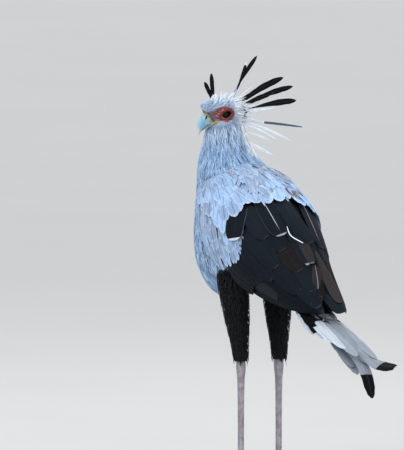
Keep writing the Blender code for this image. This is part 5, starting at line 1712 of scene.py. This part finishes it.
def make_stage(settings):
    """Floor, camera, surround and lamps."""
    scene = bpy.context.scene
    mesh = bpy.data.meshes.new("studio_floor")
    rim = [(FLOOR_RADIUS * math.cos(a), FLOOR_RADIUS * math.sin(a), 0.0) for a in circle(96)]
    mesh.from_pydata(rim, [], [tuple(range(len(rim)))])
    mesh.materials.append(floor_paint())
    floor = bpy.data.objects.new("studio_floor", mesh)
    scene.collection.objects.link(floor)

    right = np.array([math.cos(VIEW_AZIMUTH), math.sin(VIEW_AZIMUTH), 0.0])
    level = np.array([math.sin(VIEW_AZIMUTH), -math.cos(VIEW_AZIMUTH), 0.0])
    back = level * math.cos(VIEW_ELEVATION) + UP * math.sin(VIEW_ELEVATION)
    across, tall = VIEW_CENTRE
    centre = right * across + UP * (tall / math.cos(VIEW_ELEVATION)) + SHIFT
    camera = place_object("camera", bpy.data.cameras.new("camera"), centre + back * VIEW_DISTANCE)
    look = np.stack([right, np.cross(back, right), back], 1)
    camera.rotation_quaternion = Matrix(look.tolist()).to_quaternion()
    camera.data.sensor_width = 36.0
    camera.data.lens = VIEW_LENS
    camera.data.clip_start, camera.data.clip_end = VIEW_CLIP
    scene.camera = camera

    scene.view_settings.view_transform = "Standard"
    scene.world = scene.world or bpy.data.worlds.new("studio")
    scene.world.use_nodes = True
    ground = scene.world.node_tree.nodes["Background"]
    ground.inputs["Color"].default_value = (*settings.sky_colour, 1.0)
    ground.inputs["Strength"].default_value = settings.sky_strength
    for name, turn, height, distance, size, share in LAMPS:
        lamp = bpy.data.lights.new(name, "AREA")
        lamp.size = size
        lamp.energy = settings.key_power * share
        angle, rise = VIEW_AZIMUTH + math.radians(turn), math.radians(height)
        away = Vector((math.sin(angle) * math.cos(rise), -math.cos(angle) * math.cos(rise), math.sin(rise)))
        holder = place_object(name, lamp, Vector(LAMPS_AIM) + away * distance)
        holder.rotation_quaternion = away.to_track_quat("Z", "Y")


class BirdSizes(bpy.types.PropertyGroup):
    coat_depth: bpy.props.FloatProperty(
        name="Coat depth", description="How far the skin lies under the breast feathers' tips",
        default=0.010, min=0.002, max=0.016, unit="LENGTH")


class BirdColours(bpy.types.PropertyGroup):
    fringe: bpy.props.FloatVectorProperty(
        name="Feather fringe", description="Colour of the pale rims of the body feathers",
        default=(0.58, 0.69, 0.84), size=3, min=0.0, max=1.0, subtype="COLOR")
    flight_fringe: bpy.props.FloatVectorProperty(
        name="Flight feather fringe", description="Colour of the narrow rims of the wing's large feathers",
        default=(0.58, 0.62, 0.68), size=3, min=0.0, max=1.0, subtype="COLOR")


class BirdStage(bpy.types.PropertyGroup):
    sky_colour: bpy.props.FloatVectorProperty(
        name="Surround", description="Colour of the studio's surround",
        default=(0.88, 0.90, 0.93), size=3, min=0.0, max=1.0, subtype="COLOR")
    sky_strength: bpy.props.FloatProperty(
        name="Surround strength", description="Brightness of the surround", default=0.98, min=0.0)
    key_power: bpy.props.FloatProperty(
        name="Key power", description="Power of the main soft lamp in watts", default=82.0, min=0.0)


class Paints:
    """The materials that several pieces share, each made at its first use."""

    made = {}
    makers = {
        "skin": lambda colours: skin_paint(),
        "bill": lambda colours: bill_paint(),
        "eye": lambda colours: eye_paint(),
        "leg": lambda colours: leg_paint(),
        "claw": lambda colours: claw_paint(),
        "feather": lambda colours: feather_paint("body_feather", tuple(colours.fringe), 0.80, 26.0, 0.11),
        "face": lambda colours: feather_paint("face_feather", tuple(colours.fringe), 0.85, 20.0, 0.16, 0.55),
        "down": lambda colours: feather_paint("black_down", (0.02, 0.02, 0.025), 0.88, 16.0, 0.10),
        "flight": lambda colours: flight_paint(
            "flight_feather", tuple(colours.flight_fringe), 0.60, (0.020, 0.021, 0.025)),
        "tail": lambda colours: flight_paint(
            "tail_feather", tuple(colours.flight_fringe), 0.66, (0.10, 0.10, 0.11)),
    }

    @classmethod
    def get(cls, name):
        if name not in cls.made:
            cls.made[name] = cls.makers[name](bpy.context.scene.bird_colours)
        return cls.made[name]


class BIRD_OT_skin(bpy.types.Operator):
    """Build the one skin of trunk, neck, head and thighs"""

    bl_idname = "bird.skin"
    bl_label = "Skin"

    def execute(self, context):
        make_skin(Paints.get("skin"), context.scene.bird_sizes.coat_depth)
        return {"FINISHED"}


class BIRD_OT_eyes(bpy.types.Operator):
    """Build both eyes"""

    bl_idname = "bird.eyes"
    bl_label = "Eyes"

    def execute(self, context):
        make_eyes(Paints.get("eye"))
        return {"FINISHED"}


class BIRD_OT_bill(bpy.types.Operator):
    """Build the bill's two halves and the gape"""

    bl_idname = "bird.bill"
    bl_label = "Bill"

    def execute(self, context):
        make_bill(Paints.get("bill"))
        return {"FINISHED"}


class BIRD_OT_legs(bpy.types.Operator):
    """Build shanks, toes and claws"""

    bl_idname = "bird.legs"
    bl_label = "Legs"

    def execute(self, context):
        make_legs(Paints.get("leg"), Paints.get("claw"))
        return {"FINISHED"}


class BIRD_OT_head_coat(bpy.types.Operator):
    """Plant the small feathers, tufts and lashes of the head"""

    bl_idname = "bird.head_coat"
    bl_label = "Head feathers"

    def execute(self, context):
        make_head_coat(Paints.get("face"))
        return {"FINISHED"}


class BIRD_OT_body_coat(bpy.types.Operator):
    """Plant the feathers of neck, breast and back"""

    bl_idname = "bird.body_coat"
    bl_label = "Body feathers"

    def execute(self, context):
        make_body_coat(Paints.get("feather"))
        return {"FINISHED"}


class BIRD_OT_thigh_coat(bpy.types.Operator):
    """Plant the black trouser feathers of the thighs"""

    bl_idname = "bird.thigh_coat"
    bl_label = "Trouser feathers"

    def execute(self, context):
        make_thigh_coat(Paints.get("down"))
        return {"FINISHED"}


class BIRD_OT_wings(bpy.types.Operator):
    """Lay the flight feathers and coverts of both folded wings"""

    bl_idname = "bird.wings"
    bl_label = "Wings"

    def execute(self, context):
        for side, word in SIDES:
            make_wing(side, word, Paints.get("flight"), Paints.get("feather"))
        return {"FINISHED"}


class BIRD_OT_tail(bpy.types.Operator):
    """Lay the tail feathers and their coverts"""

    bl_idname = "bird.tail"
    bl_label = "Tail"

    def execute(self, context):
        make_tail(Paints.get("tail"), Paints.get("feather"))
        return {"FINISHED"}


class BIRD_OT_crest(bpy.types.Operator):
    """Raise the crest and nape plumes"""

    bl_idname = "bird.crest"
    bl_label = "Crest"

    def execute(self, context):
        make_crest(Paints.get("tail"))
        return {"FINISHED"}


class BIRD_OT_stage(bpy.types.Operator):
    """Set the floor, the lamps and the camera"""

    bl_idname = "bird.stage"
    bl_label = "Stage"

    def execute(self, context):
        make_stage(context.scene.bird_stage)
        return {"FINISHED"}


STEPS = (BIRD_OT_skin, BIRD_OT_eyes, BIRD_OT_bill, BIRD_OT_legs, BIRD_OT_head_coat, BIRD_OT_body_coat,
         BIRD_OT_thigh_coat, BIRD_OT_wings, BIRD_OT_tail, BIRD_OT_crest, BIRD_OT_stage)
GROUPS = {"bird_sizes": BirdSizes, "bird_colours": BirdColours, "bird_stage": BirdStage}


class BIRD_PT_panel(bpy.types.Panel):
    """Steps and sizes of the bird"""

    bl_label = "Secretary bird"
    bl_idname = "BIRD_PT_panel"
    bl_space_type = "VIEW_3D"
    bl_region_type = "UI"
    bl_category = "Bird"

    def draw(self, context):
        for name, kind in GROUPS.items():
            for key in kind.__annotations__:
                self.layout.prop(getattr(context.scene, name), key)
        for step in STEPS:
            self.layout.operator(step.bl_idname)


def register():
    for cls in (*GROUPS.values(), *STEPS, BIRD_PT_panel):
        bpy.utils.register_class(cls)
    for key, cls in GROUPS.items():
        setattr(bpy.types.Scene, key, bpy.props.PointerProperty(type=cls))


def unregister():
    for key in GROUPS:
        delattr(bpy.types.Scene, key)
    for cls in (BIRD_PT_panel, *reversed(STEPS), *reversed(tuple(GROUPS.values()))):
        bpy.utils.unregister_class(cls)


def main():
    register()
    for step in STEPS:
        group, name = step.bl_idname.split(".")
        getattr(getattr(bpy.ops, group), name)()


if __name__ == "__main__":
    main()
